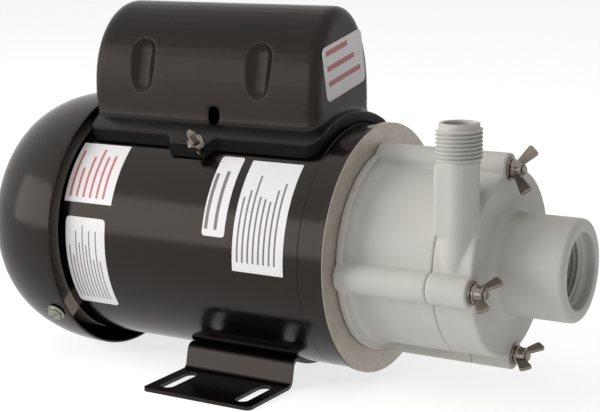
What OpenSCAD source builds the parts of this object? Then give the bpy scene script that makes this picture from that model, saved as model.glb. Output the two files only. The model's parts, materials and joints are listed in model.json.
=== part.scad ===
// Magnetic drive pump: a fan-cooled motor that turns a sealed impeller through a magnet coupling.
// Millimetres, Z up. The origin is on the floor under the middle of the foot's slots.
// The shaft runs along Y, and the inlet faces -Y. Most pieces are drawn in the shaft's own frame,
// where z is the distance from the front bell's face towards the inlet, x is across and y is up.

/* [Stance] */
// Height of the shaft above the floor
axis_height = 69; // [68:0.5:76]
// Distance from the front bell's face back to the middle of the foot
foot_setback = 67; // [62:0.5:72]

/* [Motor shell] */
// Outer radius of the shell
shell_r = 60.7; // [59.5:0.1:62]
// Wall of the shell
shell_wall = 1.5; // [1:0.1:2]
// Length of the shell
shell_len = 155; // [153:0.5:165]

/* [End bells] */
// Step from the shell out to the front bell's rim
bell_lip = 1.3; // [0.5:0.1:3]
// Thickness of the front bell's rim
bell_flange = 3; // [2:0.1:4]
// Thickness of the front bell's web
bell_web = 6; // [5:0.1:7]
// Depth of each bell's spigot inside the shell
bell_spigot = 9; // [6:0.5:12]
// Wall of each bell's spigot
spigot_wall = 3; // [2:0.1:4]
// Length of the rear bell behind the shell
rear_rim = 14; // [12:0.5:16]
// Thickness of the rear bell's web
rear_web = 5; // [4:0.1:6]
// Wall of the bearing hubs
hub_wall = 4; // [3:0.1:6]
// Radius of the through bolts
bolt_r = 2; // [1.5:0.1:2.5]
// Distance of the through bolts inside the shell's inner wall
bolt_inset = 6.2; // [5.5:0.1:7]

/* [Stator and rotor] */
// Distance from the front bell's face back to the lamination stack
stack_setback = 55; // [52:0.5:58]
// Length of the lamination stack
stack_len = 60; // [50:0.5:64]
// Radius of the stator's bore
bore_r = 34; // [33:0.1:35]
// Air gap between the stator and the rotor
air_gap = 0.6; // [0.4:0.05:1]
// Number of winding slots
slot_count = 24; // [12:6:24]
// Width of a winding slot
slot_w = 4.5; // [3:0.1:5]
// Length of the winding's end turns
end_turn_len = 17; // [12:0.5:19]
// Number of cage bars in the rotor
cage_bars = 20; // [12:1:24]
// Radius of a cage bar
cage_bar_r = 1.6; // [1:0.1:2]
// Length of each cage end ring
cage_ring_len = 7; // [4:0.5:9]

/* [Shaft and bearings] */
// Radius of the shaft in the bearings
shaft_r = 6; // [5.5:0.1:6.5]
// Radius of the shaft between the bearings
shaft_core_r = 7.5; // [7:0.1:8.5]
// Outer radius of the bearings
bearing_r = 16; // [15.5:0.1:17]
// Width of the bearings
bearing_w = 10; // [9:0.1:11]
// Radius of a bearing ball
ball_r = 2.95; // [2.6:0.05:3.1]
// Number of balls in a bearing
ball_count = 8; // [6:1:9]
// Thickness of the wave washer behind the rear bearing
wave_washer_t = 0.8; // [0.5:0.1:1.2]

/* [Cooling fan] */
// Radius of the fan
fan_r = 52; // [44:0.5:53]
// Length of the fan's blades
fan_w = 15; // [10:0.5:16]
// Number of fan blades
fan_blades = 8; // [5:1:12]
// Thickness of a fan blade and of the fan's disc
fan_sheet = 2.2; // [1.5:0.1:2.5]
// Running gap between the through bolts' heads and the fan
fan_gap = 2.5; // [1:0.1:3]

/* [Fan cover] */
// Gap from the shell out to the fan cover's outside
fan_cover_gap = 8.3; // [6:0.1:10]
// Sheet thickness of the fan cover
fan_cover_sheet = 1.2; // [0.8:0.1:1.6]
// Length of the fan cover
fan_cover_len = 52.4; // [49:0.2:60]
// Length of the straight part behind the fan cover's rim
fan_cover_straight = 4; // [2:0.5:8]
// Distance that the rim reaches over the shell
fan_cover_lap = 1; // [0:0.1:3]
// Radius of the flat rear end
fan_cover_flat_r = 44; // [36:0.5:48]
// Radius of an air hole in the rear end
vent_r = 2.4; // [1.5:0.1:2.8]
// Distance between the rings of air holes
vent_pitch = 8; // [7:0.1:9]
// Turn of the first fan cover screw
cover_screw_turn = 216; // [205:1:228]
// Radius of a fan cover screw
cover_screw_r = 2; // [1.5:0.1:2.5]

/* [Foot] */
// Sheet thickness of the foot
foot_sheet = 1.9; // [1.5:0.1:2.5]
// Length of the foot along the shaft
foot_len = 63.5; // [60:0.5:70]
// Half of the foot's width
foot_half = 71.7; // [70:0.1:80]
// Half of the distance between the risers
riser_half = 34; // [32:0.5:36]
// Lean of the risers
riser_tilt = 13; // [5:1:18]
// Inside radius of the bends
bend_r = 2.6; // [1.5:0.1:3.5]
// Distance from a slot to the foot's end
slot_edge = 5.5; // [4:0.1:8]
// Distance from a slot to the riser
slot_riser_gap = 5.2; // [4:0.1:8]
// Slot centre distance along the shaft
slot_pitch = 44.4; // [40:0.1:48]
// Half of a slot's width
slot_half = 3.57; // [3:0.01:4.5]

/* [Capacitor cover] */
// Distance from the front bell's face back to the cover's front end
cap_cover_setback = 22.7; // [20:0.1:26]
// Distance from the shell's rear end to the cover's rear end
cap_cover_gap = 2.5; // [2:0.1:8]
// Half of the cover's width at the saddle
cap_cover_half = 29; // [28:0.1:30]
// Half of the cover's width where the arch starts
arch_half = 27.6; // [26.5:0.1:28]
// Height of the arch's start above the shell
arch_lift = 15.3; // [12:0.1:18]
// Height of the arch
arch_rise = 42.2; // [40:0.1:48]
// Edge rounding at the cover's ends
cap_cover_round = 5.4; // [3:0.1:7]
// Sheet thickness of the cover
cap_cover_sheet = 1.2; // [0.8:0.1:1.5]
// Half of the saddle's width
saddle_half = 38; // [36:0.1:40]
// Length of the saddle in front of the cover
saddle_front = 7; // [5:0.1:12]
// Thickness of the gasket under the saddle
gasket_t = 5; // [2:0.1:6]
// Depth of the pressed side ribs
rib_depth = 3.6; // [2:0.1:4.5]
// Radius of the pressed side ribs
rib_r = 9; // [7:0.1:12]
// Distance between the two ribs of a side
rib_pitch = 70; // [60:0.5:80]
// Length of the pressed side ribs
rib_len = 31; // [20:0.5:34]
// Angle from the top to the cover's studs
cover_stud_angle = 40; // [38:0.5:41]
// Radius of the cover's studs
cover_stud_r = 2; // [1.6:0.1:2.4]
// Length of the cover's studs above the shell
cover_stud_len = 17; // [14:0.5:19]

/* [Capacitor] */
// Radius of the capacitor
capacitor_r = 19; // [16:0.5:19.5]
// Length of the capacitor
capacitor_len = 76; // [60:1:90]
// Height of the capacitor's axis above the shell
capacitor_lift = 29; // [28:0.5:31]
// Sheet thickness of the capacitor's straps
strap_t = 1.2; // [0.8:0.1:1.5]
// Width of the capacitor's straps
strap_w = 12; // [8:0.5:16]

/* [Wiring] */
// Radius of a lead
lead_r = 1.4; // [1:0.1:1.6]
// Half of the distance between the leads
lead_half = 2; // [1.8:0.1:2.2]
// Bore radius of the wire grommet
grommet_bore = 4; // [3.9:0.1:5]
// Bore radius of the cord's inlet grommet
inlet_bore = 4.2; // [3.5:0.1:5]
// Wall of both grommets
grommet_wall = 1.4; // [1:0.1:2]
// Distance from the shell's rear end to the cord's inlet
cord_inlet_gap = 18; // [17:0.5:20]

/* [Pump bracket] */
// Length of the bracket
bracket_len = 48; // [47:0.1:52]
// Outer radius of the bracket
bracket_r = 45.3; // [44.8:0.1:46]
// Bore radius of the bracket
bracket_bore = 40; // [38.5:0.1:40.4]
// Radius of the bracket's flange
flange_r = 50; // [48:0.1:53]
// Thickness of the bracket's flange
flange_t = 4; // [3:0.1:5]
// Thickness of the bracket's floor
floor_t = 5; // [4:0.1:5.5]
// Radius of the hole in the bracket's floor
floor_hole = 28; // [20:0.5:29]
// Radius of the screws that hold the bracket
bracket_screw_r = 2.4; // [2:0.1:2.5]
// Radius of the stud bosses
boss_r = 7.4; // [6.5:0.1:8]
// Radius of the circle of studs
boss_circle = 46; // [45.5:0.1:48]
// Turn of the studs from level
boss_turn = 5; // [0:0.5:8]
// Radius of the studs
stud_r = 2.4; // [2:0.1:2.5]
// Length of the studs in front of the bosses
stud_reach = 7.5; // [7:0.1:10]

/* [Pump housing] */
// Length of the housing from the seam to its front face
volute_len = 20; // [19.5:0.1:24]
// Draft of the housing's side
volute_draft = 0.5; // [0.3:0.1:2]
// Edge rounding of the housing
edge_round = 1.2; // [0.8:0.1:3]
// Edge rounding of the inlet's lip
lip_round = 2.5; // [1:0.1:3]
// Radius of the pump chamber
chamber_r = 38.5; // [36:0.1:38.6]
// Depth of the pump chamber
chamber_depth = 12; // [11.5:0.1:13]
// Radius of the inlet boss
intake_r = 24.5; // [23:0.1:27]
// Length of the inlet boss in front of the housing
intake_len = 34.3; // [32:0.1:40]
// Fillet between the housing and the inlet boss
intake_fillet = 4; // [3:0.1:8]
// Radius of the recess in front of the inlet's thread
recess_r = 18.2; // [17:0.1:20]
// Depth of that recess
recess_depth = 5.7; // [3:0.1:7]
// Inner radius of the inlet's thread
inlet_thread_r = 15.2; // [14:0.1:16]
// Length of the inlet's thread
inlet_thread_len = 22; // [16:0.5:24]
// Radius of the passage behind the inlet's thread
eye_r = 12.5; // [11:0.1:13.5]
// Distance from the shaft across to the discharge pipe
discharge_offset = 36.1; // [35:0.1:36.4]
// Distance from the seam to the discharge pipe
discharge_setback = 8.6; // [8:0.1:9]
// Height of the discharge pipe above the shaft
discharge_h = 71.1; // [67:0.1:80]
// Radius of the discharge pipe
discharge_r = 9.4; // [9:0.1:10.2]
// Radius of the discharge thread
discharge_thread_r = 10.67; // [10.5:0.01:10.9]
// Length of the discharge thread
discharge_thread_len = 14.6; // [12:0.1:16]
// Radius of the plain tip above the thread
discharge_tip_r = 9.4; // [8.8:0.1:10]
// Length of the plain tip above the thread
discharge_tip_len = 3.6; // [2:0.1:5]
// Bore radius of the discharge pipe
discharge_bore = 7.25; // [6:0.05:7.6]
// Section radius of the seal ring
seal_r = 1.2; // [0.9:0.05:1.25]

/* [Magnet coupling] */
// Outer radius of the rear housing's can
can_r = 26; // [25.5:0.1:26.3]
// Wall of the can
can_wall = 1.6; // [1.2:0.1:1.9]
// Distance from the bell's face to the can's closed end
can_start = 11; // [10.5:0.1:12]
// Thickness of the rear housing's flange
can_flange = 4; // [3:0.1:5]
// Gap between the drive magnets and the can
coupling_gap = 1.2; // [0.6:0.1:1.6]
// Thickness of the drive magnets
magnet_t = 5.8; // [4.5:0.1:6]
// Number of drive magnets
magnet_count = 6; // [4:2:10]
// Wall of the drive cup
cup_wall = 3; // [2:0.1:3.4]
// Length of the drive cup
cup_len = 36; // [32:0.1:36.5]
// Outer radius of the drive cup's hub
cup_hub_r = 11; // [10:0.1:14]

/* [Impeller] */
// Radius of the impeller
impeller_r = 33; // [28:0.1:35]
// Number of vanes
vane_count = 6; // [4:1:8]
// Height of the vanes
vane_h = 6; // [4:0.1:6.2]
// Thickness of a vane
vane_t = 2.2; // [1.5:0.1:3]
// Radius of the ceramic spindle
spindle_r = 4; // [3.5:0.1:4.2]
// Outer radius of the bushing and of the thrust washers
bushing_r = 7; // [6.5:0.1:7.5]
// Thickness of the thrust washers
thrust_t = 1.5; // [1:0.1:2]
// Thickness of the ring magnet
ring_magnet_t = 6.5; // [4:0.1:7]
// Wall of the magnet's jacket
jacket_wall = 0.9; // [0.6:0.1:1.2]

/* [Wing nuts] */
// Radius of the nut's base
nut_r = 4.6; // [4:0.1:5]
// Height of the nut's body
nut_h = 5.2; // [4:0.1:5.5]
// Span across the wings
wing_span = 22.2; // [18:0.1:24]
// Thickness of the wings
wing_t = 1.8; // [1.4:0.1:2.4]
// Rise of the wings from level
wing_rise = 40; // [30:1:50]
// Radius of the washer
washer_r = 5.6; // [5.2:0.1:6.5]
// Thickness of the washer
washer_t = 1; // [0.8:0.1:1.4]

/* [Stickers] */
// Thickness of the blank stickers
sticker_t = 0.2; // [0.1:0.05:0.3]
// Distance from the shell's rear end to the middle of the rear stickers
rear_sticker_gap = 18; // [16.5:0.1:24]
// Length of the upper rear sticker along the shaft
upper_sticker_len = 30; // [24:0.1:32]
// Length of the lower rear sticker along the shaft
lower_sticker_len = 25; // [20:0.1:30]
// Distance from the front bell's face back to the plate sticker
plate_sticker_setback = 22; // [16:0.1:26]
// Length of the plate sticker along the shaft
plate_sticker_len = 28.5; // [24:0.1:30]
// Length of the narrow sticker along the shaft
narrow_sticker_len = 13; // [10:0.1:16]
// Gap between the plate sticker and the narrow sticker
sticker_gap = 5; // [3:0.1:8]
// Width of the cover's sticker
cover_sticker_w = 39; // [30:0.1:41]
// Height of the cover's sticker
cover_sticker_h = 27; // [20:0.1:30]

/* [Fits] */
// Radial gap of pieces that are fixed in each other
seat = 0.05; // [0.02:0.01:0.1]
// Radial gap of pieces that turn in each other
run_fit = 0.06; // [0.03:0.01:0.1]
// End play between turning pieces and what holds them
end_play = 0.3; // [0.2:0.05:0.5]
// Gap between the impeller and the wet walls around it
wet_gap = 1; // [0.6:0.1:1.2]

/* [Hidden] */
$fn = 64;
eps = 1;
shell_in = shell_r - shell_wall;
shell_front = -bell_flange;
shell_rear = shell_front - shell_len;
bell_r = shell_r + bell_lip;
spigot_r = shell_in - seat;
bolt_circle = shell_in - bolt_inset;
bolt_head_h = 3.5;
bolt_depth = bell_spigot + bell_flange - 4;
bolt_lug_r = bolt_r + 3;
rear_face = shell_rear - rear_rim;
hub_r = bearing_r + hub_wall;
front_bearing_z = -bell_web - bearing_w - 1;
rear_bearing_z = rear_face + rear_web + wave_washer_t;
bearing_mid_r = (shaft_r + bearing_r) / 2 + 0.1;
race_r = ball_r + 0.1;
land_half = ball_r * 0.64;
cage_half = 0.5;
shaft_hole_r = shaft_core_r + 0.5;
stack_front = -stack_setback;
stack_rear = stack_front - stack_len;
slot_in_r = bore_r + 2.5;
slot_out_r = bolt_circle - bolt_r - 1.2;
slot_mouth = 1.6;
coil_gap = 0.25;
rotor_r = bore_r - air_gap;
cage_circle = rotor_r - cage_bar_r - 1;
cage_ring_in = cage_circle - 8;
fan_front = rear_face - bolt_head_h - fan_gap;
fan_rear = fan_front - fan_sheet - fan_w;
fan_hub_r = shaft_r + 5;
clip_t = 1;
clip_wall = 3;
shaft_rear = fan_rear - clip_t - 1;
fan_cover_r = shell_r + fan_cover_gap;
fan_cover_in = fan_cover_r - fan_cover_sheet;
fan_rim_z = shell_rear + fan_cover_lap;
fan_dome_z = fan_rim_z - fan_cover_straight;
fan_back_z = fan_rim_z - fan_cover_len;
fan_dome_len = fan_dome_z - fan_back_z;
fan_dome_drop = fan_cover_r - fan_cover_flat_r;
vent_rings = floor((fan_cover_flat_r - vent_r - 2) / vent_pitch);
cover_screw_count = 3;
cover_screw_z = shell_rear - rear_rim / 2;
cover_screw_len = 11;
cover_screw_lug = 12;
screw_head_h = 1.5 * cover_screw_r;
cover_screw_lift = 0.2;
cradle_r = shell_r + seat;
foot_corner = 3;
slot_len = foot_half - slot_edge - riser_half - slot_riser_gap;
slot_span = 2 * (foot_half - slot_edge) - slot_len;
saddle_in = shell_r + gasket_t + seat;
saddle_out = saddle_in + cap_cover_sheet;
saddle_round = 8;
cap_cover_front = -cap_cover_setback;
cap_cover_len = cap_cover_front - shell_rear - cap_cover_gap;
cap_cover_mid = cap_cover_front - cap_cover_len / 2;
arch_y = shell_r + arch_lift;
rear_bulge = 2.8;
rear_crown_r = 128;
rear_top_round = 2.2 * cap_cover_round;
belly_y = arch_y + 12;
rib_y = arch_y + 12.2;
rib_centre = arch_half + rib_r - rib_depth - 1.1;
rib_tilt = 14;
rib_shift = -1.8;
skirt_in = shell_r + 0.6;
ear_shift = 1;
cover_stud_shift = 8;
ear_top_half = 17;
ear_tip_half = 10.5;
ear_reach = 4;
ear_root = 3;
notch_half = 2.2;
notch_h = 7.5;
notch_shift = 7.4;
cover_nut_r = 4.6;
cover_nut_h = 3.6;
capacitor_y = shell_r + capacitor_lift;
capacitor_front = cap_cover_mid + capacitor_len / 2;
strap_shift = capacitor_len / 4;
strap_foot_half = 8;
terminal_len = 5;
terminal_t = 0.8;
lead_z = capacitor_front + terminal_len + 4;
grommet_flange = 2;
lead_end_y = slot_out_r + 1.2;
seam_z = bracket_len;
rabbet_r = bracket_bore + 2;
bracket_screw_circle = (floor_hole + bracket_bore) / 2 + 1;
bracket_screw_head_r = bracket_screw_r + 1.7;
bracket_screw_depth = 5;
stud_start = floor_t + 3;
stud_end = seam_z + volute_len + stud_reach;
stud_hole_r = stud_r + seat;
intake_end = volute_len + intake_len;
inlet_thread_start = intake_end - recess_depth - inlet_thread_len;
discharge_thread_y = discharge_h - discharge_tip_len - discharge_thread_len;
seal_circle = (chamber_r + rabbet_r) / 2;
can_in = can_r - can_wall;
can_floor = can_start + can_wall;
socket_len = 4.4;
rear_thrust_z = can_floor + socket_len;
hub_start = rear_thrust_z + thrust_t + end_play;
hub_end = seam_z + chamber_depth - thrust_t - 2 * end_play;
front_thrust_z = hub_end + end_play;
spider_z = seam_z + chamber_depth;
spider_len = 7;
spider_hub_r = spindle_r + 2.2;
spider_rib = 2;
cup_magnet_in = can_r + coupling_gap;
cup_in = cup_magnet_in + magnet_t;
cup_r = cup_in + cup_wall;
cup_start = floor_t + 1;
cup_base = 3;
cup_hub_start = 1;
magnet_clear = 3;
set_screw_r = 2;
shaft_front = cup_start + cup_base;
jacket_r = can_in - wet_gap;
ring_magnet_r = jacket_r - jacket_wall;
sleeve_r = ring_magnet_r - ring_magnet_t;
disc_z = seam_z + wet_gap;
disc_t = 2.5;
plug_t = 3;
ring_magnet_len = disc_z - plug_t - hub_start - jacket_wall;
vane_angle = 35;
nut_z = seam_z + volute_len + washer_t;
boss_step = 0.3;
nut_top_r = nut_r - 0.8;
wing_root = 1.7;
wing_half = 2.8;
wing_tip_cut = 1;
stud_places = [boss_turn, boss_turn + 90, boss_turn + 180, boss_turn + 270];
wing_turns = [140, 65, 29, 18];

// Points on an arc of an ellipse
function arc(cx, cy, rx, ry, from, to, steps) = [
    for (i = [0:steps])
        let (a = from + (to - from) * i / steps)
        [cx + rx * cos(a), cy + ry * sin(a)]
];

// The shaft's own frame, moved along the shaft by z
module on_shaft(z = 0) {
    translate([0, -foot_setback, axis_height])
        rotate([90, 0, 0])
            translate([0, 0, z])
                children();
}

// Copies on a circle
module around(count, radius, start = 0) {
    for (i = [0:count - 1])
        rotate(start + i * 360 / count)
            translate([radius, 0, 0])
                children();
}

module tube(r_out, r_in, length) {
    difference() {
        cylinder(r = r_out, h = length);
        translate([0, 0, -eps])
            cylinder(r = r_in, h = length + 2 * eps);
    }
}

// Flat ring sector between two angles less than half a turn apart
module sector(r_out, r_in, from, to) {
    intersection() {
        difference() {
            circle(r = r_out);
            circle(r = r_in);
        }
        polygon(concat([[0, 0]], arc(0, 0, 2 * r_out, 2 * r_out, from, to, 4)));
    }
}

module rounded_rect(width, height, radius) {
    square([width - 2 * radius, height], center = true);
    square([width, height - 2 * radius], center = true);
    for (x = [-1, 1], y = [-1, 1])
        translate([x * (width / 2 - radius), y * (height / 2 - radius)])
            circle(r = radius);
}

// Shank and hexagon head, with the head's underside at z = 0 and the shank below it
module hex_screw(shank_r, shank_len, head_r, head_h) {
    translate([0, 0, -shank_len])
        cylinder(r = shank_r, h = shank_len + eps);
    cylinder(r = head_r, h = head_h, $fn = 6);
}

// Motor housing

module motor_shell() {
    color("#2b2727") on_shaft(shell_rear)
        difference() {
            tube(shell_r, shell_in, shell_len);
            translate([0, shell_in / 2, lead_z - shell_rear])
                rotate([-90, 0, 0])
                    cylinder(r = grommet_bore + grommet_wall + seat, h = shell_r);
            translate([shell_in / 2, 0, cord_inlet_gap])
                rotate([0, 90, 0])
                    cylinder(r = inlet_bore + grommet_wall + seat, h = shell_r);
        }
}

// Threaded lugs of the front bell for the through bolts
module bolt_lugs(z, length) {
    translate([0, 0, z])
        intersection() {
            around(4, bolt_circle, 45)
                cylinder(r = bolt_lug_r, h = length);
            cylinder(r = spigot_r, h = length);
        }
}

module front_end_bell() {
    spigot_rear = shell_front - bell_spigot;
    color("#a89f97") on_shaft()
        difference() {
            union() {
                translate([0, 0, -bell_flange])
                    cylinder(r = bell_r, h = bell_flange);
                translate([0, 0, -bell_web])
                    cylinder(r = spigot_r, h = bell_web);
                translate([0, 0, spigot_rear])
                    tube(spigot_r, spigot_r - spigot_wall, bell_spigot + bell_flange - eps);
                bolt_lugs(spigot_rear, bell_spigot + bell_flange - eps);
                translate([0, 0, front_bearing_z])
                    cylinder(r = hub_r, h = -front_bearing_z - eps);
            }
            translate([0, 0, front_bearing_z - eps])
                cylinder(r = bearing_r + seat, h = bearing_w + 1 + eps);
            translate([0, 0, -bell_web - 2 * eps])
                cylinder(r = shaft_hole_r, h = bell_web + 4 * eps);
            around(4, bolt_circle, 45)
                translate([0, 0, spigot_rear - eps])
                    cylinder(r = bolt_r + seat, h = bolt_depth + eps);
            around(4, bracket_screw_circle, boss_turn + 45)
                translate([0, 0, -bracket_screw_depth])
                    cylinder(r = bracket_screw_r + seat, h = bracket_screw_depth + eps);
        }
}

module rear_end_bell() {
    color("#a89f97") on_shaft()
        difference() {
            union() {
                translate([0, 0, rear_face])
                    tube(shell_r, shell_r - spigot_wall - shell_wall, rear_rim);
                translate([0, 0, rear_face])
                    cylinder(r = shell_r, h = rear_web);
                translate([0, 0, shell_rear - eps])
                    tube(spigot_r, shell_r - spigot_wall - shell_wall, bell_spigot + eps);
                translate([0, 0, rear_face])
                    cylinder(r = hub_r, h = rear_bearing_z + bearing_w + 1 - rear_face);
                intersection() {
                    around(cover_screw_count, shell_r - spigot_wall / 2, cover_screw_turn)
                        translate([0, -cover_screw_lug / 2, cover_screw_z - cover_screw_lug / 2])
                            cube([fan_cover_gap + spigot_wall, cover_screw_lug, cover_screw_lug]);
                    rotate_extrude()
                        fan_cover_outline(fan_cover_sheet + seat);
                }
            }
            translate([0, 0, rear_face + rear_web])
                cylinder(r = bearing_r + seat, h = rear_rim + bell_spigot);
            translate([0, 0, rear_face - eps])
                cylinder(r = shaft_hole_r, h = rear_web + 2 * eps);
            around(4, bolt_circle, 45)
                translate([0, 0, rear_face - eps])
                    cylinder(r = bolt_r + seat, h = rear_web + 2 * eps);
            around(cover_screw_count, fan_cover_r - cover_screw_len - eps, cover_screw_turn)
                translate([0, 0, cover_screw_z])
                    rotate([0, 90, 0])
                        cylinder(r = cover_screw_r + seat, h = cover_screw_len + 2 * eps);
        }
}

module stator_slots(width, r_in, r_out) {
    for (i = [0:slot_count - 1])
        rotate(i * 360 / slot_count)
            translate([r_in, -width / 2])
                square([r_out - r_in, width]);
}

module stator_core() {
    color("#6f6a66") on_shaft(stack_rear)
        linear_extrude(stack_len)
            difference() {
                circle(r = shell_in - seat);
                circle(r = bore_r);
                stator_slots(slot_w, slot_in_r, slot_out_r);
                stator_slots(slot_mouth, bore_r - eps, slot_in_r + eps);
                around(4, bolt_circle, 45)
                    circle(r = bolt_r + 0.6);
            }
}

module end_turns(z) {
    translate([0, 0, z])
        tube(slot_out_r, bore_r + 3, end_turn_len);
}

module stator_windings() {
    bar_len = stack_len + 2 * eps;
    color("#b06a3b") on_shaft() {
        end_turns(stack_front);
        end_turns(stack_rear - end_turn_len);
        translate([0, 0, stack_rear - eps])
            linear_extrude(bar_len)
                stator_slots(slot_w - 2 * coil_gap, slot_in_r + 2 * coil_gap, slot_out_r - coil_gap);
    }
}

module thermal_protector() {
    color("#3a3a3e") on_shaft(stack_front + end_turn_len)
        rotate(300)
            translate([(bore_r + 3 + slot_out_r) / 2, 0, 0])
                cylinder(r = 6, h = 4);
}

module through_bolts() {
    bolt_len = shell_front - bell_spigot + bolt_depth - 1 - rear_face;
    color("#8f8a84") on_shaft(rear_face)
        around(4, bolt_circle, 45)
            mirror([0, 0, 1])
                hex_screw(bolt_r, bolt_len, bolt_r * 1.8, bolt_head_h);
}

// Fan cover

module fan_cover_outline(inset) {
    polygon(concat(
        [[0, fan_back_z + inset]],
        arc(fan_cover_flat_r, fan_dome_z, fan_dome_drop - inset, fan_dome_len - inset, -90, 0, 14),
        [[fan_cover_r - inset, fan_rim_z + inset], [0, fan_rim_z + inset]]
    ));
}

module fan_cover() {
    color("#2b2727") on_shaft()
        difference() {
            rotate_extrude()
                difference() {
                    fan_cover_outline(0);
                    fan_cover_outline(fan_cover_sheet);
                }
            translate([0, 0, fan_back_z - eps])
                linear_extrude(fan_cover_sheet + 2 * eps) {
                    circle(r = vent_r);
                    for (ring = [1:vent_rings])
                        around(6 * ring, ring * vent_pitch)
                            circle(r = vent_r);
                }
            around(cover_screw_count, fan_cover_in - eps, cover_screw_turn)
                translate([0, 0, cover_screw_z])
                    rotate([0, 90, 0])
                        cylinder(r = cover_screw_r + seat, h = fan_cover_sheet + 2 * eps);
        }
}

module fan_cover_screws() {
    color("#9aa08f") on_shaft()
        around(cover_screw_count, fan_cover_r + cover_screw_lift, cover_screw_turn)
            translate([0, 0, cover_screw_z])
                rotate([0, 90, 0]) {
                    hex_screw(cover_screw_r, cover_screw_len, 2 * cover_screw_r, screw_head_h);
                    cylinder(r = 2.5 * cover_screw_r, h = screw_head_h / 3);
                }
}

// Foot

// Sheet outline of the foot. Each face runs from the outer end over the low bend, the riser,
// the high bend and the cradle to the middle, and then mirrored to the other end.
module foot_outline() {
    up = [-sin(riser_tilt), cos(riser_tilt)];
    out = [cos(riser_tilt), sin(riser_tilt)];
    outer_r = bend_r + foot_sheet;
    low = [riser_half + bend_r * (1 - sin(riser_tilt)) / cos(riser_tilt), foot_sheet + bend_r];
    base = [riser_half, foot_sheet] - outer_r * out - [0, axis_height];
    lean = base * up;
    climb = -lean - sqrt(lean * lean - base * base + pow(cradle_r + outer_r, 2));
    high = base + climb * up + [0, axis_height];
    meet = atan2(axis_height - high[1], -high[0]);
    upper = foot_face(low, high, meet, foot_sheet, bend_r, outer_r, cradle_r);
    lower = foot_face(low, high, meet, 0, outer_r, bend_r, cradle_r + foot_sheet);
    polygon(concat(
        upper, across([for (i = [len(upper) - 2:-1:0]) upper[i]]),
        across(lower), [for (i = [len(lower) - 2:-1:0]) lower[i]]
    ));
}

// Mirrored points
function across(points) = [for (p = points) [-p[0], p[1]]];

// Points of one face of the foot's sheet, from the outer end to the middle
function foot_face(low, high, meet, z, low_r, high_r, saddle_r) = concat(
    [[foot_half, z]],
    arc(low[0], low[1], low_r, low_r, 270, 180 + riser_tilt, 6),
    arc(high[0], high[1], high_r, high_r, riser_tilt, meet, 8),
    arc(0, axis_height, saddle_r, saddle_r, meet + 180, 270, 16)
);

module mounting_foot() {
    color("#232021")
        difference() {
            intersection() {
                rotate([90, 0, 0])
                    linear_extrude(foot_len, center = true)
                        foot_outline();
                linear_extrude(axis_height)
                    rounded_rect(2 * foot_half, foot_len, foot_corner);
            }
            for (x = [-1, 1], y = [-1, 1])
                translate([x * slot_span / 2, y * slot_pitch / 2, -eps])
                    linear_extrude(foot_sheet + 2 * eps)
                        obround(slot_len, slot_half);
        }
}

// Slot outline along x
module obround(length, half) {
    square([length - 2 * half, 2 * half], center = true);
    for (x = [-1, 1])
        translate([x * (length / 2 - half), 0])
            circle(r = half);
}

// Capacitor cover and what it holds

// Distance that an edge of the given radius falls back at a depth from its end
function roll(radius, depth) =
    depth >= radius ? 0 : radius - sqrt(pow(radius, 2) - pow(radius - depth, 2));

// Block of the cover's body from the given end to its middle, with its top lowered and cut off
// below the given height
module cover_slice(z, inset, drop, bottom) {
    translate([0, 0, min(z, cap_cover_mid)])
        linear_extrude(abs(cap_cover_mid - z))
            intersection() {
                offset(delta = -inset)
                    polygon(concat(
                        [[-cap_cover_half, shell_in / 2], [cap_cover_half, shell_in / 2]],
                        arc(0, arch_y, arch_half, arch_rise - drop, 0, 180, 24)
                    ));
                translate([-cap_cover_half, bottom])
                    square([2 * cap_cover_half, arch_y + arch_rise]);
            }
}

// Rounded body of the cover, drawn in by the given distance. Its rear panel is crowned and its
// rear top edge is rounder than the others.
module cover_body(inset) {
    rear = cap_cover_mid - cap_cover_len / 2 - rear_bulge + inset;
    edge = cap_cover_round - inset;
    top = rear_top_round - inset;
    hull() {
        for (turn = [0:22.5:90])
            cover_slice(cap_cover_front - inset - edge * (1 - cos(turn)), inset + edge * (1 - sin(turn)),
                        0, shell_in / 2);
        for (turn = [0:15:90]) {
            depth = top * (1 - cos(turn));
            cover_slice(rear + depth, inset + roll(edge, depth), roll(top, depth) - roll(edge, depth),
                        max(shell_in / 2, belly_y - sqrt(2 * rear_crown_r * depth)));
        }
    }
}

// Plan of the saddle, seen from above: x across and y along the shaft
module saddle_plan(inset) {
    length = cap_cover_len + saddle_front - 2 * inset;
    translate([0, cap_cover_mid + saddle_front / 2])
        rounded_rect(2 * (saddle_half - inset), length, saddle_round - inset);
    for (side = [-1, 1])
        translate([side * saddle_half, cap_cover_mid + ear_shift])
            polygon([
                side * [-ear_root, inset - ear_top_half], side * [ear_reach - inset, inset - ear_tip_half],
                side * [ear_reach - inset, ear_tip_half - inset], side * [-ear_root, ear_top_half - inset]
            ]);
}

// Part of the ring between two radii over the plan
module saddle(r_in, r_out, inset) {
    intersection() {
        translate([0, 0, cap_cover_mid - cap_cover_len])
            tube(r_out, r_in, 2 * cap_cover_len);
        translate([0, r_out + eps, 0])
            rotate([90, 0, 0])
                linear_extrude(r_out)
                    saddle_plan(inset);
    }
}

module cover_stud_holes(radius) {
    for (side = [-1, 1])
        translate([0, 0, cap_cover_mid + cover_stud_shift])
            rotate(90 + side * cover_stud_angle)
                translate([shell_r - eps, 0, 0])
                    rotate([0, 90, 0])
                        cylinder(r = radius, h = cover_stud_len);
}

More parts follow.
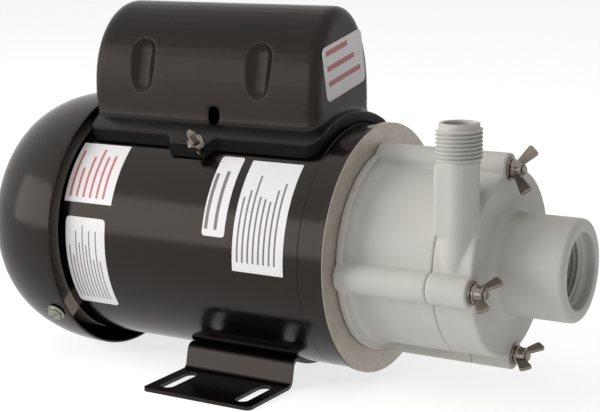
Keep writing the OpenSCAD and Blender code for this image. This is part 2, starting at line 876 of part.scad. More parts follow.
// Pressed ribs on both sides of the cover: capsules that lean with the wall and sink into it
module cover_ribs(grow) {
    length = rib_len - 2 * sqrt(pow(rib_r, 2) - pow(rib_r - rib_depth, 2));
    for (side = [-1, 1], end = [-1, 1])
        translate([side * rib_centre, rib_y, cap_cover_mid + rib_shift + end * rib_pitch / 2])
            rotate(side * rib_tilt)
                rotate([-90, 0, 0])
                    rotate_extrude()
                        intersection() {
                            rotate(90)
                                obround(length + 2 * (rib_r + grow), rib_r + grow);
                            translate([0, -rib_len])
                                square(2 * rib_len);
                        }
}

// Small arched hole in the side wall above the saddle
module cover_notch() {
    base_y = sqrt(pow(saddle_out, 2) - pow(cap_cover_half, 2)) + 0.3;
    translate([-cap_cover_half - eps, base_y, cap_cover_mid + notch_shift])
        rotate([0, 90, 0])
            linear_extrude(2 * eps + 2 * cap_cover_sheet) {
                translate([-notch_half, 0])
                    square([2 * notch_half, notch_h - notch_half]);
                translate([0, notch_h - notch_half])
                    circle(r = notch_half);
            }
}

// Turned-down lip of the saddle
module saddle_skirt() {
    difference() {
        saddle(skirt_in, saddle_out, 0);
        saddle(skirt_in - eps, saddle_out + eps, cap_cover_sheet);
    }
}

module capacitor_cover() {
    color("#2b2727") on_shaft()
        difference() {
            union() {
                difference() {
                    union() {
                        cover_body(0);
                        saddle(saddle_in, saddle_out, 0);
                    }
                    difference() {
                        cover_body(cap_cover_sheet);
                        cover_ribs(cap_cover_sheet);
                    }
                    translate([0, 0, cap_cover_mid - cap_cover_len])
                        cylinder(r = saddle_in, h = 2 * cap_cover_len);
                }
                saddle_skirt();
            }
            cover_ribs(0);
            cover_notch();
            cover_stud_holes(cover_stud_r + 0.4);
        }
}

module cover_gasket() {
    color("#151515") on_shaft()
        difference() {
            saddle(shell_r + seat, saddle_in - seat, cap_cover_sheet + 0.2);
            translate([0, shell_r, cap_cover_mid])
                cube([2 * cap_cover_half - 4, 2 * shell_wall + 30, cap_cover_len - 4], center = true);
            cover_stud_holes(cover_stud_r + 0.4);
        }
}

module cover_studs() {
    color("#a89b88") on_shaft(cap_cover_mid + cover_stud_shift)
        for (side = [-1, 1])
            rotate(90 + side * cover_stud_angle)
                translate([shell_r + seat, 0, 0])
                    rotate([0, 90, 0])
                        cylinder(r = cover_stud_r, h = cover_stud_len);
}

module cover_nuts() {
    color("#a89b88") on_shaft(cap_cover_mid + cover_stud_shift)
        for (side = [-1, 1])
            rotate(90 + side * cover_stud_angle)
                translate([saddle_out + 0.2, 0, 0])
                    rotate([0, 90, 0])
                        difference() {
                            cylinder(r = cover_nut_r, h = cover_nut_h, $fn = 6);
                            translate([0, 0, -eps])
                                cylinder(r = cover_stud_r + seat, h = cover_nut_h + 2 * eps);
                        }
}

module capacitor() {
    color("#b7b9bb") on_shaft(capacitor_front)
        translate([0, capacitor_y, 0]) {
            translate([0, 0, -capacitor_len])
                cylinder(r = capacitor_r, h = capacitor_len);
            for (side = [-1, 1])
                translate([side * lead_half - terminal_t / 2, -lead_r, -eps])
                    cube([terminal_t, 2 * lead_r, terminal_len + eps]);
        }
}

module capacitor_straps() {
    foot_y = capacitor_y - capacitor_r - shell_in;
    color("#8f8a84") on_shaft(cap_cover_mid)
        for (end = [-1, 1])
            translate([0, 0, end * strap_shift - strap_w / 2])
                difference() {
                    linear_extrude(strap_w) {
                        translate([0, capacitor_y])
                            circle(r = capacitor_r + strap_t);
                        translate([-strap_foot_half, shell_in])
                            square([2 * strap_foot_half, foot_y]);
                    }
                    translate([0, capacitor_y, -eps])
                        cylinder(r = capacitor_r + seat, h = strap_w + 2 * eps);
                    translate([0, 0, -eps])
                        cylinder(r = shell_r + seat, h = strap_w + 2 * eps);
                }
}

module capacitor_leads() {
    stub = lead_z - capacitor_front - terminal_len;
    color("#3d4f8a") on_shaft(lead_z)
        for (side = [-1, 1])
            translate([side * lead_half, lead_end_y, 0]) {
                rotate([-90, 0, 0])
                    cylinder(r = lead_r, h = capacitor_y - lead_end_y);
                translate([0, capacitor_y - lead_end_y, 0]) {
                    sphere(r = lead_r);
                    translate([0, 0, -stub])
                        cylinder(r = lead_r, h = stub);
                }
            }
}

// Rubber grommet through the shell's wall, with its flange outside
module grommet(bore) {
    translate([0, 0, shell_in - 2])
        tube(bore + grommet_wall, bore, shell_wall + 2 + grommet_flange + 0.3);
    translate([0, 0, shell_r + 0.3])
        tube(bore + grommet_wall + 2, bore, grommet_flange);
}

module wire_grommet() {
    color("#1d1d1d") on_shaft(lead_z)
        rotate([-90, 0, 0])
            grommet(grommet_bore);
}

module cord_inlet_grommet() {
    color("#1d1d1d") on_shaft(shell_rear + cord_inlet_gap)
        rotate([0, 90, 0])
            grommet(inlet_bore);
}

// Blank sticker on the shell: middle along the shaft, length, and its lower and upper edges
// as angles above level on the discharge pipe's side
module shell_sticker(front, length, low, high) {
    on_shaft(front - length)
        linear_extrude(length)
            sector(shell_r + sticker_t, shell_r, 180 - high, 180 - low);
}

module shell_stickers() {
    rear_middle = shell_rear + rear_sticker_gap;
    color("#d9d6d6") {
        shell_sticker(rear_middle + upper_sticker_len / 2, upper_sticker_len, 19, 50.5);
        shell_sticker(rear_middle + lower_sticker_len / 2, lower_sticker_len, -34, 12);
        shell_sticker(-plate_sticker_setback, plate_sticker_len, -4, 49);
        shell_sticker(-plate_sticker_setback - plate_sticker_len - sticker_gap, narrow_sticker_len, 10.5, 50);
    }
}

module cover_sticker() {
    color("#d9d6d6") on_shaft(cap_cover_front)
        translate([0, arch_y + cover_sticker_h / 2, 0])
            rotate(11)
                linear_extrude(sticker_t)
                    rounded_rect(cover_sticker_w, cover_sticker_h, cover_sticker_h / 8);
}

// Bearings

module bearing_ring(z, r_out, r_in) {
    on_shaft(z)
        difference() {
            tube(r_out, r_in, bearing_w);
            translate([0, 0, bearing_w / 2])
                rotate_extrude()
                    translate([bearing_mid_r, 0])
                        circle(r = race_r);
        }
}

module bearing_balls(z) {
    on_shaft(z + bearing_w / 2) {
        around(ball_count, bearing_mid_r)
            sphere(r = ball_r);
        translate([0, 0, -ball_r / 2])
            tube(bearing_mid_r + cage_half, bearing_mid_r - cage_half, ball_r);
    }
}

module front_bearing_outer() {
    color("#b4b6b8") bearing_ring(front_bearing_z, bearing_r, bearing_mid_r + land_half);
}

module rear_bearing_outer() {
    color("#b4b6b8") bearing_ring(rear_bearing_z, bearing_r, bearing_mid_r + land_half);
}

module front_bearing_inner() {
    color("#b4b6b8") bearing_ring(front_bearing_z, bearing_mid_r - land_half, shaft_r);
}

module rear_bearing_inner() {
    color("#b4b6b8") bearing_ring(rear_bearing_z, bearing_mid_r - land_half, shaft_r);
}

module front_bearing_balls() {
    color("#d0d2d4") bearing_balls(front_bearing_z);
}

module rear_bearing_balls() {
    color("#d0d2d4") bearing_balls(rear_bearing_z);
}

module bearing_wave_washer() {
    color("#a3a5a8") on_shaft(rear_face + rear_web)
        tube(bearing_r, bearing_mid_r + land_half, wave_washer_t);
}

// Rotor

module motor_shaft() {
    core_rear = rear_bearing_z + bearing_w;
    core_front = front_bearing_z;
    color("#c3c5c7") on_shaft() {
        translate([0, 0, shaft_rear])
            cylinder(r = shaft_r, h = shaft_front - shaft_rear);
        translate([0, 0, core_rear])
            cylinder(r = shaft_core_r, h = core_front - core_rear);
    }
}

module rotor_core() {
    color("#77726d") on_shaft(stack_rear)
        linear_extrude(stack_len)
            difference() {
                circle(r = rotor_r);
                circle(r = shaft_core_r);
                around(cage_bars, cage_circle)
                    circle(r = cage_bar_r + seat);
            }
}

module rotor_cage() {
    color("#c9c9c4") on_shaft(stack_rear) {
        around(cage_bars, cage_circle)
            translate([0, 0, -eps])
                cylinder(r = cage_bar_r, h = stack_len + 2 * eps);
        for (z = [-cage_ring_len, stack_len])
            translate([0, 0, z])
                tube(rotor_r - 0.5, cage_ring_in, cage_ring_len);
    }
}

module cooling_fan() {
    color("#3b3d40") on_shaft(fan_rear)
        difference() {
            union() {
                cylinder(r = fan_hub_r, h = fan_w + fan_sheet);
                translate([0, 0, fan_w])
                    cylinder(r = fan_r, h = fan_sheet);
                around(fan_blades, 0)
                    translate([shaft_r + fan_sheet, -fan_sheet / 2, 0])
                        cube([fan_r - shaft_r - 2 * fan_sheet, fan_sheet, fan_w + eps]);
            }
            translate([0, 0, -eps])
                cylinder(r = shaft_r, h = fan_w + fan_sheet + 2 * eps);
        }
}

module fan_clip() {
    color("#77787a") on_shaft(fan_rear - clip_t)
        tube(shaft_r + clip_wall, shaft_r, clip_t);
}

module drive_magnet_cup() {
    screw_z = (cup_hub_start + cup_start) / 2;
    color("#8d9094") on_shaft()
        difference() {
            union() {
                translate([0, 0, cup_start])
                    cylinder(r = cup_r, h = cup_base);
                translate([0, 0, cup_start])
                    tube(cup_r, cup_in, cup_len);
                translate([0, 0, cup_hub_start])
                    cylinder(r = cup_hub_r, h = cup_start - cup_hub_start + eps);
            }
            translate([0, 0, -eps])
                cylinder(r = shaft_r, h = shaft_front + 2 * eps);
            translate([shaft_r - eps, 0, screw_z])
                rotate([0, 90, 0])
                    cylinder(r = set_screw_r + seat, h = cup_hub_r);
        }
}

module hub_set_screw() {
    screw_z = (cup_hub_start + cup_start) / 2;
    color("#4a4b4d") on_shaft()
        translate([shaft_r, 0, screw_z])
            rotate([0, 90, 0])
                cylinder(r = set_screw_r, h = cup_hub_r - shaft_r - 0.5);
}

module drive_magnets() {
    share = 360 / magnet_count * 0.42;
    color("#55575a") on_shaft(cup_start + cup_base + magnet_clear)
        for (i = [0:magnet_count - 1])
            rotate(i * 360 / magnet_count)
                linear_extrude(cup_len - cup_base - 2 * magnet_clear)
                    sector(cup_in, cup_magnet_in, -share, share);
}

// Pump bracket

module stud_bosses(length) {
    around(4, boss_circle, boss_turn)
        cylinder(r = boss_r, h = length);
}

module pump_bracket() {
    color("#b9b8b3") on_shaft()
        difference() {
            union() {
                linear_extrude(bracket_len) {
                    circle(r = bracket_r);
                    around(4, boss_circle, boss_turn)
                        circle(r = boss_r);
                }
                cylinder(r = flange_r, h = flange_t);
            }
            translate([0, 0, floor_t])
                cylinder(r = bracket_bore, h = bracket_len);
            translate([0, 0, bracket_len - can_flange])
                cylinder(r = rabbet_r, h = can_flange + eps);
            translate([0, 0, -eps])
                cylinder(r = floor_hole, h = floor_t + 2 * eps);
            around(4, boss_circle, boss_turn)
                translate([0, 0, stud_start])
                    cylinder(r = stud_hole_r, h = bracket_len);
            around(4, bracket_screw_circle, boss_turn + 45) {
                translate([0, 0, -eps])
                    cylinder(r = bracket_screw_r + seat, h = floor_t + 2 * eps);
                translate([0, 0, floor_t - bracket_screw_head_r + bracket_screw_r])
                    cylinder(r1 = bracket_screw_r + seat, r2 = bracket_screw_head_r + seat + eps,
                             h = bracket_screw_head_r - bracket_screw_r + eps);
            }
        }
}

module bracket_screws() {
    head_h = bracket_screw_head_r - bracket_screw_r;
    color("#8f8a84") on_shaft()
        around(4, bracket_screw_circle, boss_turn + 45) {
            translate([0, 0, 0.5 - bracket_screw_depth])
                cylinder(r = bracket_screw_r, h = floor_t + bracket_screw_depth - 1);
            translate([0, 0, floor_t - head_h])
                cylinder(r1 = bracket_screw_r, r2 = bracket_screw_head_r, h = head_h);
        }
}

module clamp_studs() {
    color("#8d7f72") on_shaft(stud_start)
        around(4, boss_circle, boss_turn)
            cylinder(r = stud_r, h = stud_end - stud_start);
}

// Wet end

module rear_housing() {
    color("#a7a6a1") on_shaft()
        difference() {
            union() {
                translate([0, 0, can_start])
                    cylinder(r = can_r, h = seam_z - can_start);
                translate([0, 0, seam_z - can_flange])
                    cylinder(r = rabbet_r - seat, h = can_flange);
            }
            difference() {
                translate([0, 0, can_floor])
                    cylinder(r = can_in, h = seam_z);
                translate([0, 0, can_start])
                    cylinder(r = bushing_r, h = can_wall + socket_len);
            }
            translate([0, 0, can_floor])
                cylinder(r = spindle_r + seat, h = seam_z);
        }
}

module pump_housing_outline() {
    front_r = bracket_r - volute_draft;
    face = volute_len - boss_step;
    polygon(concat(
        [[0, 0], [bracket_r, 0]],
        arc(front_r - edge_round, face - edge_round, edge_round, edge_round, 0, 90, 6),
        arc(intake_r + intake_fillet, face + intake_fillet, intake_fillet, intake_fillet, 270, 180, 8),
        arc(intake_r - lip_round, intake_end - lip_round, lip_round, lip_round, 0, 90, 6),
        [[0, intake_end]]
    ));
}

module discharge_pipe() {
    translate([-discharge_offset, 0, discharge_setback])
        rotate([-90, 0, 0]) {
            cylinder(r = discharge_r, h = discharge_thread_y + eps);
            translate([0, 0, discharge_thread_y])
                cylinder(r = discharge_thread_r, h = discharge_thread_len);
            cylinder(r = discharge_tip_r, h = discharge_h);
        }
}

module spindle_spider() {
    translate([0, 0, chamber_depth])
        difference() {
            union() {
                cylinder(r = spider_hub_r, h = spider_len);
                around(3, 0, 90)
                    translate([spindle_r + eps, -spider_rib / 2, 0])
                        cube([eye_r - spindle_r, spider_rib, spider_len]);
            }
            translate([0, 0, -eps])
                cylinder(r = spindle_r + seat, h = spider_len + 2 * eps);
        }
}

module pump_housing() {
    color("#b9b8b3") on_shaft(seam_z) {
        difference() {
            union() {
                rotate_extrude()
                    pump_housing_outline();
                stud_bosses(volute_len);
                discharge_pipe();
            }
            translate([0, 0, -bracket_len])
                cylinder(r = bracket_r + 0.3, h = bracket_len);
            translate([0, 0, -eps])
                cylinder(r = chamber_r, h = chamber_depth + eps);
            translate([0, 0, -eps])
                cylinder(r = eye_r, h = intake_end);
            translate([0, 0, inlet_thread_start])
                cylinder(r = inlet_thread_r, h = intake_end);
            translate([0, 0, intake_end - recess_depth])
                cylinder(r = recess_r, h = recess_depth + eps);
            translate([-discharge_offset, 0, discharge_setback])
                rotate([-90, 0, 0])
                    cylinder(r = discharge_bore, h = discharge_h + eps);
            around(4, boss_circle, boss_turn)
                translate([0, 0, -eps])
                    cylinder(r = stud_hole_r, h = volute_len + 2 * eps);
            translate([0, 0, -eps])
                tube(seal_circle + seal_r, seal_circle - seal_r, 2 * seal_r + eps);
        }
        spindle_spider();
    }
}

module housing_seal() {
    color("#1a1a1a") on_shaft(seam_z + seal_r)
        rotate_extrude()
            translate([seal_circle, 0])
                circle(r = seal_r - 0.02);
}

module impeller_spindle() {
    color("#e9e6de") on_shaft(can_floor)
        cylinder(r = spindle_r, h = spider_z + spider_len - 0.5 - can_floor);
}

module rear_thrust_washer() {
    color("#e9e6de") on_shaft(rear_thrust_z)
        tube(bushing_r, spindle_r + seat, thrust_t);
}

module front_thrust_washer() {
    color("#e9e6de") on_shaft(front_thrust_z + end_play)
        tube(bushing_r, spindle_r + seat, thrust_t);
}

module impeller() {
    color("#3f4a57") on_shaft()
        difference() {
            union() {
                translate([0, 0, hub_start])
                    cylinder(r = sleeve_r - seat, h = disc_z - hub_start + eps);
                translate([0, 0, disc_z - plug_t])
                    cylinder(r = jacket_r, h = plug_t + eps);
                translate([0, 0, disc_z])
                    cylinder(r = impeller_r, h = disc_t);
                translate([0, 0, disc_z])
                    cylinder(r = bushing_r + 3, h = hub_end - disc_z);
                translate([0, 0, disc_z + disc_t - eps])
                    linear_extrude(vane_h + eps)
                        intersection() {
                            circle(r = impeller_r);
                            around(vane_count, bushing_r + 2)
                                rotate(-vane_angle)
                                    square([impeller_r, vane_t]);
                        }
            }
            translate([0, 0, hub_start - eps])
                cylinder(r = bushing_r + seat, h = seam_z);
        }
}

module impeller_magnet() {
    color("#4c4e52") on_shaft(hub_start + jacket_wall)
        tube(ring_magnet_r - seat, sleeve_r, ring_magnet_len);
}

module magnet_jacket() {
    jacket_len = disc_z - plug_t - hub_start;
    color("#3f4a57") on_shaft(hub_start) {
        tube(jacket_r, ring_magnet_r, jacket_len);
        tube(jacket_r, sleeve_r, jacket_wall);
    }
}

module impeller_bushing() {
    color("#2a2a2c") on_shaft(hub_start)
        tube(bushing_r, spindle_r + run_fit, hub_end - hub_start);
}

// Wing nuts

module at_stud(index, z) {
    on_shaft(z)
        rotate(stud_places[index])
            translate([boss_circle, 0, 0])
                rotate(-stud_places[index])
                    children();
}

module wing_washer(index) {
    color("#8d7f72") at_stud(index, nut_z - washer_t)
        tube(washer_r, stud_r + run_fit, washer_t);
}

module wing_outline() {
    along = [cos(wing_rise), sin(wing_rise)];
    across = [-sin(wing_rise), cos(wing_rise)];
    root = [nut_top_r - 1, nut_h / 2];
    reach = (wing_span / 2 - root[0] - wing_half * sin(wing_rise)) / cos(wing_rise);
    tip = root + reach * along;
    polygon([
        root - wing_root * across, tip - wing_tip_cut * along - wing_half * across,
        tip - (wing_half - wing_tip_cut) * across, tip + (wing_half - wing_tip_cut) * across,
        tip - wing_tip_cut * along + wing_half * across, root + wing_root * across
    ]);
}

module wing_nut(index) {
    color("#8d7f72") at_stud(index, nut_z)
        rotate(wing_turns[index])
            difference() {
                union() {
                    cylinder(r1 = nut_r, r2 = nut_top_r, h = nut_h);
                    for (side = [0, 180])
                        rotate(side)
                            rotate([90, 0, 0])
                                linear_extrude(wing_t, center = true)
                                    wing_outline();
                }
                translate([0, 0, -eps])
                    cylinder(r = stud_r + run_fit, h = nut_h + wing_span);
            }
}

motor_shell();
front_end_bell();
rear_end_bell();
stator_core();
stator_windings();
thermal_protector();
through_bolts();
fan_cover();
fan_cover_screws();
front_bearing_outer();
rear_bearing_outer();
bearing_wave_washer();
mounting_foot();
capacitor_cover();
cover_gasket();
cover_studs();
cover_nuts();
capacitor();
capacitor_straps();
capacitor_leads();
wire_grommet();
cord_inlet_grommet();
shell_stickers();
cover_sticker();
motor_shaft();
rotor_core();
rotor_cage();
front_bearing_inner();
rear_bearing_inner();
front_bearing_balls();
rear_bearing_balls();
cooling_fan();
fan_clip();
drive_magnet_cup();
drive_magnets();
hub_set_screw();
pump_bracket();
bracket_screws();
clamp_studs();
rear_housing();
pump_housing();
housing_seal();
impeller_spindle();
front_thrust_washer();
rear_thrust_washer();
impeller();
impeller_magnet();
magnet_jacket();
impeller_bushing();
wing_washer(0);  // wing_washer_right
wing_washer(1);  // wing_washer_top
wing_washer(2);  // wing_washer_left
wing_washer(3);  // wing_washer_bottom
wing_nut(0);  // wing_nut_right
wing_nut(1);  // wing_nut_top
wing_nut(2);  // wing_nut_left
wing_nut(3);  // wing_nut_bottom
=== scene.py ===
"""Dresses the magnetic drive pump: its sheet-metal motor, moulded pump head, fasteners and blank labels."""

import json
import logging
import math
from dataclasses import dataclass
from enum import Enum
from typing import Callable, Optional, Sequence

import bpy
from mathutils import Matrix, Vector


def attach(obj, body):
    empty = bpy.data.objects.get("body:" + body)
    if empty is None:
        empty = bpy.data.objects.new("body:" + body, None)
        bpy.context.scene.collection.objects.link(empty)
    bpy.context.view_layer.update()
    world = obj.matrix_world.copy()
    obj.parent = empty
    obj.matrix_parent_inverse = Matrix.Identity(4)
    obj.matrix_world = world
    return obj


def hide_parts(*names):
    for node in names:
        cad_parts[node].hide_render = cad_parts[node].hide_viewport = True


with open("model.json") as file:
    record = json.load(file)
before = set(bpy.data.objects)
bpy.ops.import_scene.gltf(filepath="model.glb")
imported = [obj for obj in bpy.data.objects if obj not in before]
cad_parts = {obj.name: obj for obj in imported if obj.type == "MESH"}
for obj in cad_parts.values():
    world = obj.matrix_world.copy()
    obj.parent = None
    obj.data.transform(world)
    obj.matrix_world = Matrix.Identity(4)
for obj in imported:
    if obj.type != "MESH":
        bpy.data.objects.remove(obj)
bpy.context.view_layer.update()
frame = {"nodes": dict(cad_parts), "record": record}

log = logging.getLogger("pump")

MM = 0.001
AXIS_HEIGHT = 69 * MM
FOOT_SETBACK = 67 * MM
# The shaft's own frame: x across, y up and z towards the inlet, from the front bell's face
SHAFT = Matrix.Translation((0, -FOOT_SETBACK, AXIS_HEIGHT)) @ Matrix.Rotation(math.radians(90), 4, "X")

# Vertices nearer than this are one
MERGE = 0.002 * MM

Outline = Sequence[tuple[float, float]]


# Hand tools


def deselect() -> None:
    """Leaves edit mode with nothing selected."""
    if bpy.context.mode != "OBJECT":
        bpy.ops.object.mode_set(mode="OBJECT")
    bpy.ops.object.select_all(action="DESELECT")


def pick(piece: bpy.types.Object) -> None:
    """Selects one piece alone and makes it the active one."""
    deselect()
    piece.select_set(True)
    bpy.context.view_layer.objects.active = piece


def added(name: str) -> bpy.types.Object:
    """Names the piece that the last operator added, and returns it."""
    piece = bpy.context.object
    piece.name = name
    piece.data.name = name
    return piece


def edit(piece: bpy.types.Object, mode: str = "VERT") -> None:
    """Opens a piece in edit mode with all of it selected.

    Args:
        piece: The piece to open.
        mode: The kind of element that is selected, VERT, EDGE or FACE.
    """
    pick(piece)
    bpy.ops.object.mode_set(mode="EDIT")
    bpy.ops.mesh.select_mode(type=mode)
    bpy.ops.mesh.select_all(action="SELECT")


def close() -> None:
    """Merges doubles, turns all faces outwards and leaves edit mode."""
    bpy.ops.mesh.select_all(action="SELECT")
    bpy.ops.mesh.remove_doubles(threshold=MERGE)
    bpy.ops.mesh.normals_make_consistent(inside=False)
    bpy.ops.object.mode_set(mode="OBJECT")


def select_vertices(piece: bpy.types.Object, wanted: Callable[[Vector], bool]) -> None:
    """Opens a piece in edit mode with the vertices selected whose place passes a test.

    Args:
        piece: The piece to open.
        wanted: Says of a vertex's place, in metres, whether it is selected.
    """
    edit(piece)
    bpy.ops.mesh.select_all(action="DESELECT")
    bpy.ops.object.mode_set(mode="OBJECT")
    for vertex in piece.data.vertices:
        vertex.select = wanted(vertex.co)
    bpy.ops.object.mode_set(mode="EDIT")


def chain(name: str, outline: Outline) -> bpy.types.Object:
    """Draws a line of edges in the xz plane by extruding one vertex from point to point.

    Args:
        name: The piece's name.
        outline: Points of (x, z) in millimetres.

    Returns:
        The piece, left in edit mode with all of it selected.
    """
    deselect()
    bpy.ops.mesh.primitive_plane_add(size=MM)
    piece = added(name)
    edit(piece)
    bpy.ops.mesh.merge(type="CENTER")
    points = [Vector((x, 0, z)) * MM for x, z in outline]
    bpy.ops.transform.translate(value=points[0])
    for start, end in zip(points, points[1:]):
        bpy.ops.mesh.extrude_vertices_move(TRANSFORM_OT_translate={"value": end - start})
    bpy.ops.mesh.select_all(action="SELECT")
    return piece


def lathe(name: str, outline: Outline, steps: int = 96) -> bpy.types.Object:
    """Spins an outline about the z axis.

    Args:
        name: The piece's name.
        outline: Points of (radius, height) in millimetres, closed on the axis or on its first point.
        steps: Faces round a whole turn.

    Returns:
        The closed piece.
    """
    piece = chain(name, outline)
    bpy.ops.mesh.spin(steps=steps, angle=math.tau, center=(0, 0, 0), axis=(0, 0, 1))
    close()
    return piece


def coil(name: str, root: float, crest: float, pitch: float, turns: int, steps: int = 40) -> bpy.types.Object:
    """Sweeps a thread's ridge up a helix about the z axis.

    Args:
        name: The piece's name.
        root: Radius of the ridge's foot in millimetres.
        crest: Radius of the ridge's top in millimetres, below root for an inside thread.
        pitch: Distance between two turns in millimetres.
        turns: Number of turns.
        steps: Faces round a whole turn.

    Returns:
        The closed ridge, which starts at height 0.
    """
    foot, top = 0.46 * pitch, 0.13 * pitch
    ridge = [(root, -foot), (crest, -top), (crest, top), (root, foot), (root, -foot)]
    piece = chain(name, ridge)
    bpy.ops.mesh.remove_doubles(threshold=MERGE)
    bpy.ops.object.mode_set(mode="OBJECT")
    modify(
        piece, "SCREW", axis="Z", angle=math.tau, screw_offset=pitch * MM, iterations=turns,
        steps=steps, render_steps=steps, use_merge_vertices=True,
    )
    edit(piece, "EDGE")
    bpy.ops.mesh.select_all(action="DESELECT")
    bpy.ops.mesh.select_non_manifold()
    bpy.ops.mesh.fill_holes(sides=0)
    close()
    return piece


def drum(name: str, radius: float, low: float, high: float, sides: int = 48) -> bpy.types.Object:
    """Adds a rod along z between two heights, as a blank or as a cutter.

    Args:
        name: The piece's name.
        radius: Radius in millimetres.
        low: Height of the lower end in millimetres.
        high: Height of the upper end in millimetres.
        sides: Number of sides.

    Returns:
        The rod.
    """
    deselect()
    bpy.ops.mesh.primitive_cylinder_add(
        vertices=sides, radius=radius * MM, depth=(high - low) * MM, location=(0, 0, (low + high) / 2 * MM)
    )
    piece = added(name)
    bpy.ops.object.transform_apply(location=True, rotation=True, scale=True)
    return piece


def modify(piece: bpy.types.Object, kind: str, **settings: object) -> None:
    """Adds a modifier to a piece, sets it and applies it.

    Args:
        piece: The piece to modify.
        kind: Blender's name of the modifier.
        **settings: The modifier's own settings.
    """
    pick(piece)
    bpy.ops.object.modifier_add(type=kind)
    modifier = piece.modifiers[-1]
    for name, value in settings.items():
        setattr(modifier, name, value)
    bpy.ops.object.modifier_apply(modifier=modifier.name)


def combine(piece: bpy.types.Object, tool: bpy.types.Object, way: str) -> None:
    """Joins a tool to a piece or cuts the piece with it, and throws the tool away.

    Args:
        piece: The piece that is kept.
        tool: The closed mesh that is joined or cut.
        way: UNION, DIFFERENCE or INTERSECT.
    """
    modify(piece, "BOOLEAN", operation=way, object=tool, solver="EXACT")
    discard(tool)


def discard(*pieces: bpy.types.Object) -> None:
    """Deletes pieces that were only patterns or tools."""
    deselect()
    for piece in pieces:
        piece.select_set(True)
    bpy.ops.object.delete()


def weld(piece: bpy.types.Object, others: Sequence[bpy.types.Object]) -> None:
    """Joins other pieces to a piece as loose parts of its mesh."""
    pick(piece)
    for other in others:
        other.select_set(True)
    bpy.ops.object.join()


def shade(piece: bpy.types.Object, angle: float) -> None:
    """Shades a piece smooth, apart from edges sharper than an angle in degrees."""
    pick(piece)
    bpy.ops.object.shade_smooth_by_angle(angle=math.radians(angle))


def place(piece: bpy.types.Object, matrix: Matrix) -> None:
    """Puts a piece where a matrix says and keeps its place in its mesh."""
    pick(piece)
    piece.matrix_world = matrix
    bpy.ops.object.transform_apply(location=True, rotation=True, scale=True)


def twin(piece: bpy.types.Object, name: str) -> bpy.types.Object:
    """Copies a piece with a mesh of its own, and returns the copy."""
    copy = bpy.data.objects.new(name, piece.data.copy())
    bpy.context.scene.collection.objects.link(copy)
    return copy


def blank_of(node: str, name: str) -> bpy.types.Object:
    """Copies a CAD node's mesh, merged, as the blank of a new piece.

    Args:
        node: The CAD node.
        name: The new piece's name.

    Returns:
        The closed copy, without the node's normals and material.
    """
    piece = twin(frame["nodes"][node], name)
    piece.data.materials.clear()
    edit(piece)
    bpy.ops.mesh.customdata_custom_splitnormals_clear()
    bpy.ops.mesh.remove_doubles(threshold=MERGE)
    bpy.ops.object.mode_set(mode="OBJECT")
    return piece


def mould(
    piece: bpy.types.Object, voxel: float, passes: int, keep: float,
    bend: Optional[Callable[[Vector], bool]] = None, bend_passes: int = 60
) -> None:
    """Rounds all edges and inner corners of a piece, as a mould or a press does.

    Args:
        piece: The closed piece.
        voxel: Size of the remeshed faces in millimetres.
        passes: Number of smoothing passes.
        keep: Share of the faces that is kept at the end.
        bend: Says of a vertex's place, in metres, whether it lies in a bend that is rounded further.
        bend_passes: Number of smoothing passes in that bend.
    """
    modify(piece, "REMESH", mode="VOXEL", voxel_size=voxel * MM, use_smooth_shade=True)
    modify(piece, "SMOOTH", factor=0.5, iterations=passes)
    if bend:
        group = piece.vertex_groups.new(name="bend")
        group.add([v.index for v in piece.data.vertices if bend(v.co)], 1.0, "REPLACE")
        modify(piece, "SMOOTH", factor=0.5, iterations=bend_passes, vertex_group=group.name)
    modify(piece, "DECIMATE", ratio=keep)
    pick(piece)
    bpy.ops.object.shade_smooth()


def soften(piece: bpy.types.Object, width: float, segments: int = 2, angle: float = 35) -> None:
    """Breaks the sharp edges of a piece, shades its curves smooth and keeps its broad faces flat.

    Args:
        piece: The piece.
        width: Width of the broken edge in millimetres.
        segments: Faces across a broken edge.
        angle: Edges sharper than this, in degrees, are broken.
    """
    edit(piece)
    bpy.ops.mesh.dissolve_limited(angle_limit=math.radians(0.5))
    bpy.ops.object.mode_set(mode="OBJECT")
    modify(
        piece, "BEVEL", width=width * MM, segments=segments, limit_method="ANGLE",
        angle_limit=math.radians(angle), use_clamp_overlap=True, harden_normals=False,
    )
    shade(piece, angle)
    modify(piece, "WEIGHTED_NORMAL", weight=50, keep_sharp=True)


def ellipse(
    middle: tuple[float, float], radii: tuple[float, float], start: float, end: float, steps: int
) -> list:
    """Works out points on an arc of an ellipse.

    Args:
        middle: The ellipse's middle.
        radii: Its two radii.
        start: First angle in degrees.
        end: Last angle in degrees.
        steps: Number of parts of the arc.

    Returns:
        The points, in the units of the radii.
    """
    angles = [math.radians(start + (end - start) * i / steps) for i in range(steps + 1)]
    return [(middle[0] + radii[0] * math.cos(a), middle[1] + radii[1] * math.sin(a)) for a in angles]


# Finishes


def linear(code: str) -> tuple[float, float, float, float]:
    """Turns an sRGB hex colour into linear light."""
    shares = [int(code[i : i + 2], 16) / 255 for i in (1, 3, 5)]
    red, green, blue = [s / 12.92 if s <= 0.04045 else ((s + 0.055) / 1.055) ** 2.4 for s in shares]
    return red, green, blue, 1.0


def add(
    tree: bpy.types.NodeTree, kind: str, inputs: Optional[dict] = None, **settings: object
) -> bpy.types.Node:
    """Adds a node with its settings, values and links.

    Args:
        tree: The node tree.
        kind: The node's type.
        inputs: Values for its sockets, or the sockets that are linked to them.
        **settings: The node's own settings.

    Returns:
        The node.
    """
    made = tree.nodes.new(kind)
    for name, value in settings.items():
        setattr(made, name, value)
    for socket, value in (inputs or {}).items():
        if isinstance(value, bpy.types.NodeSocket):
            tree.links.new(value, made.inputs[socket])
        else:
            made.inputs[socket].default_value = value
    return made


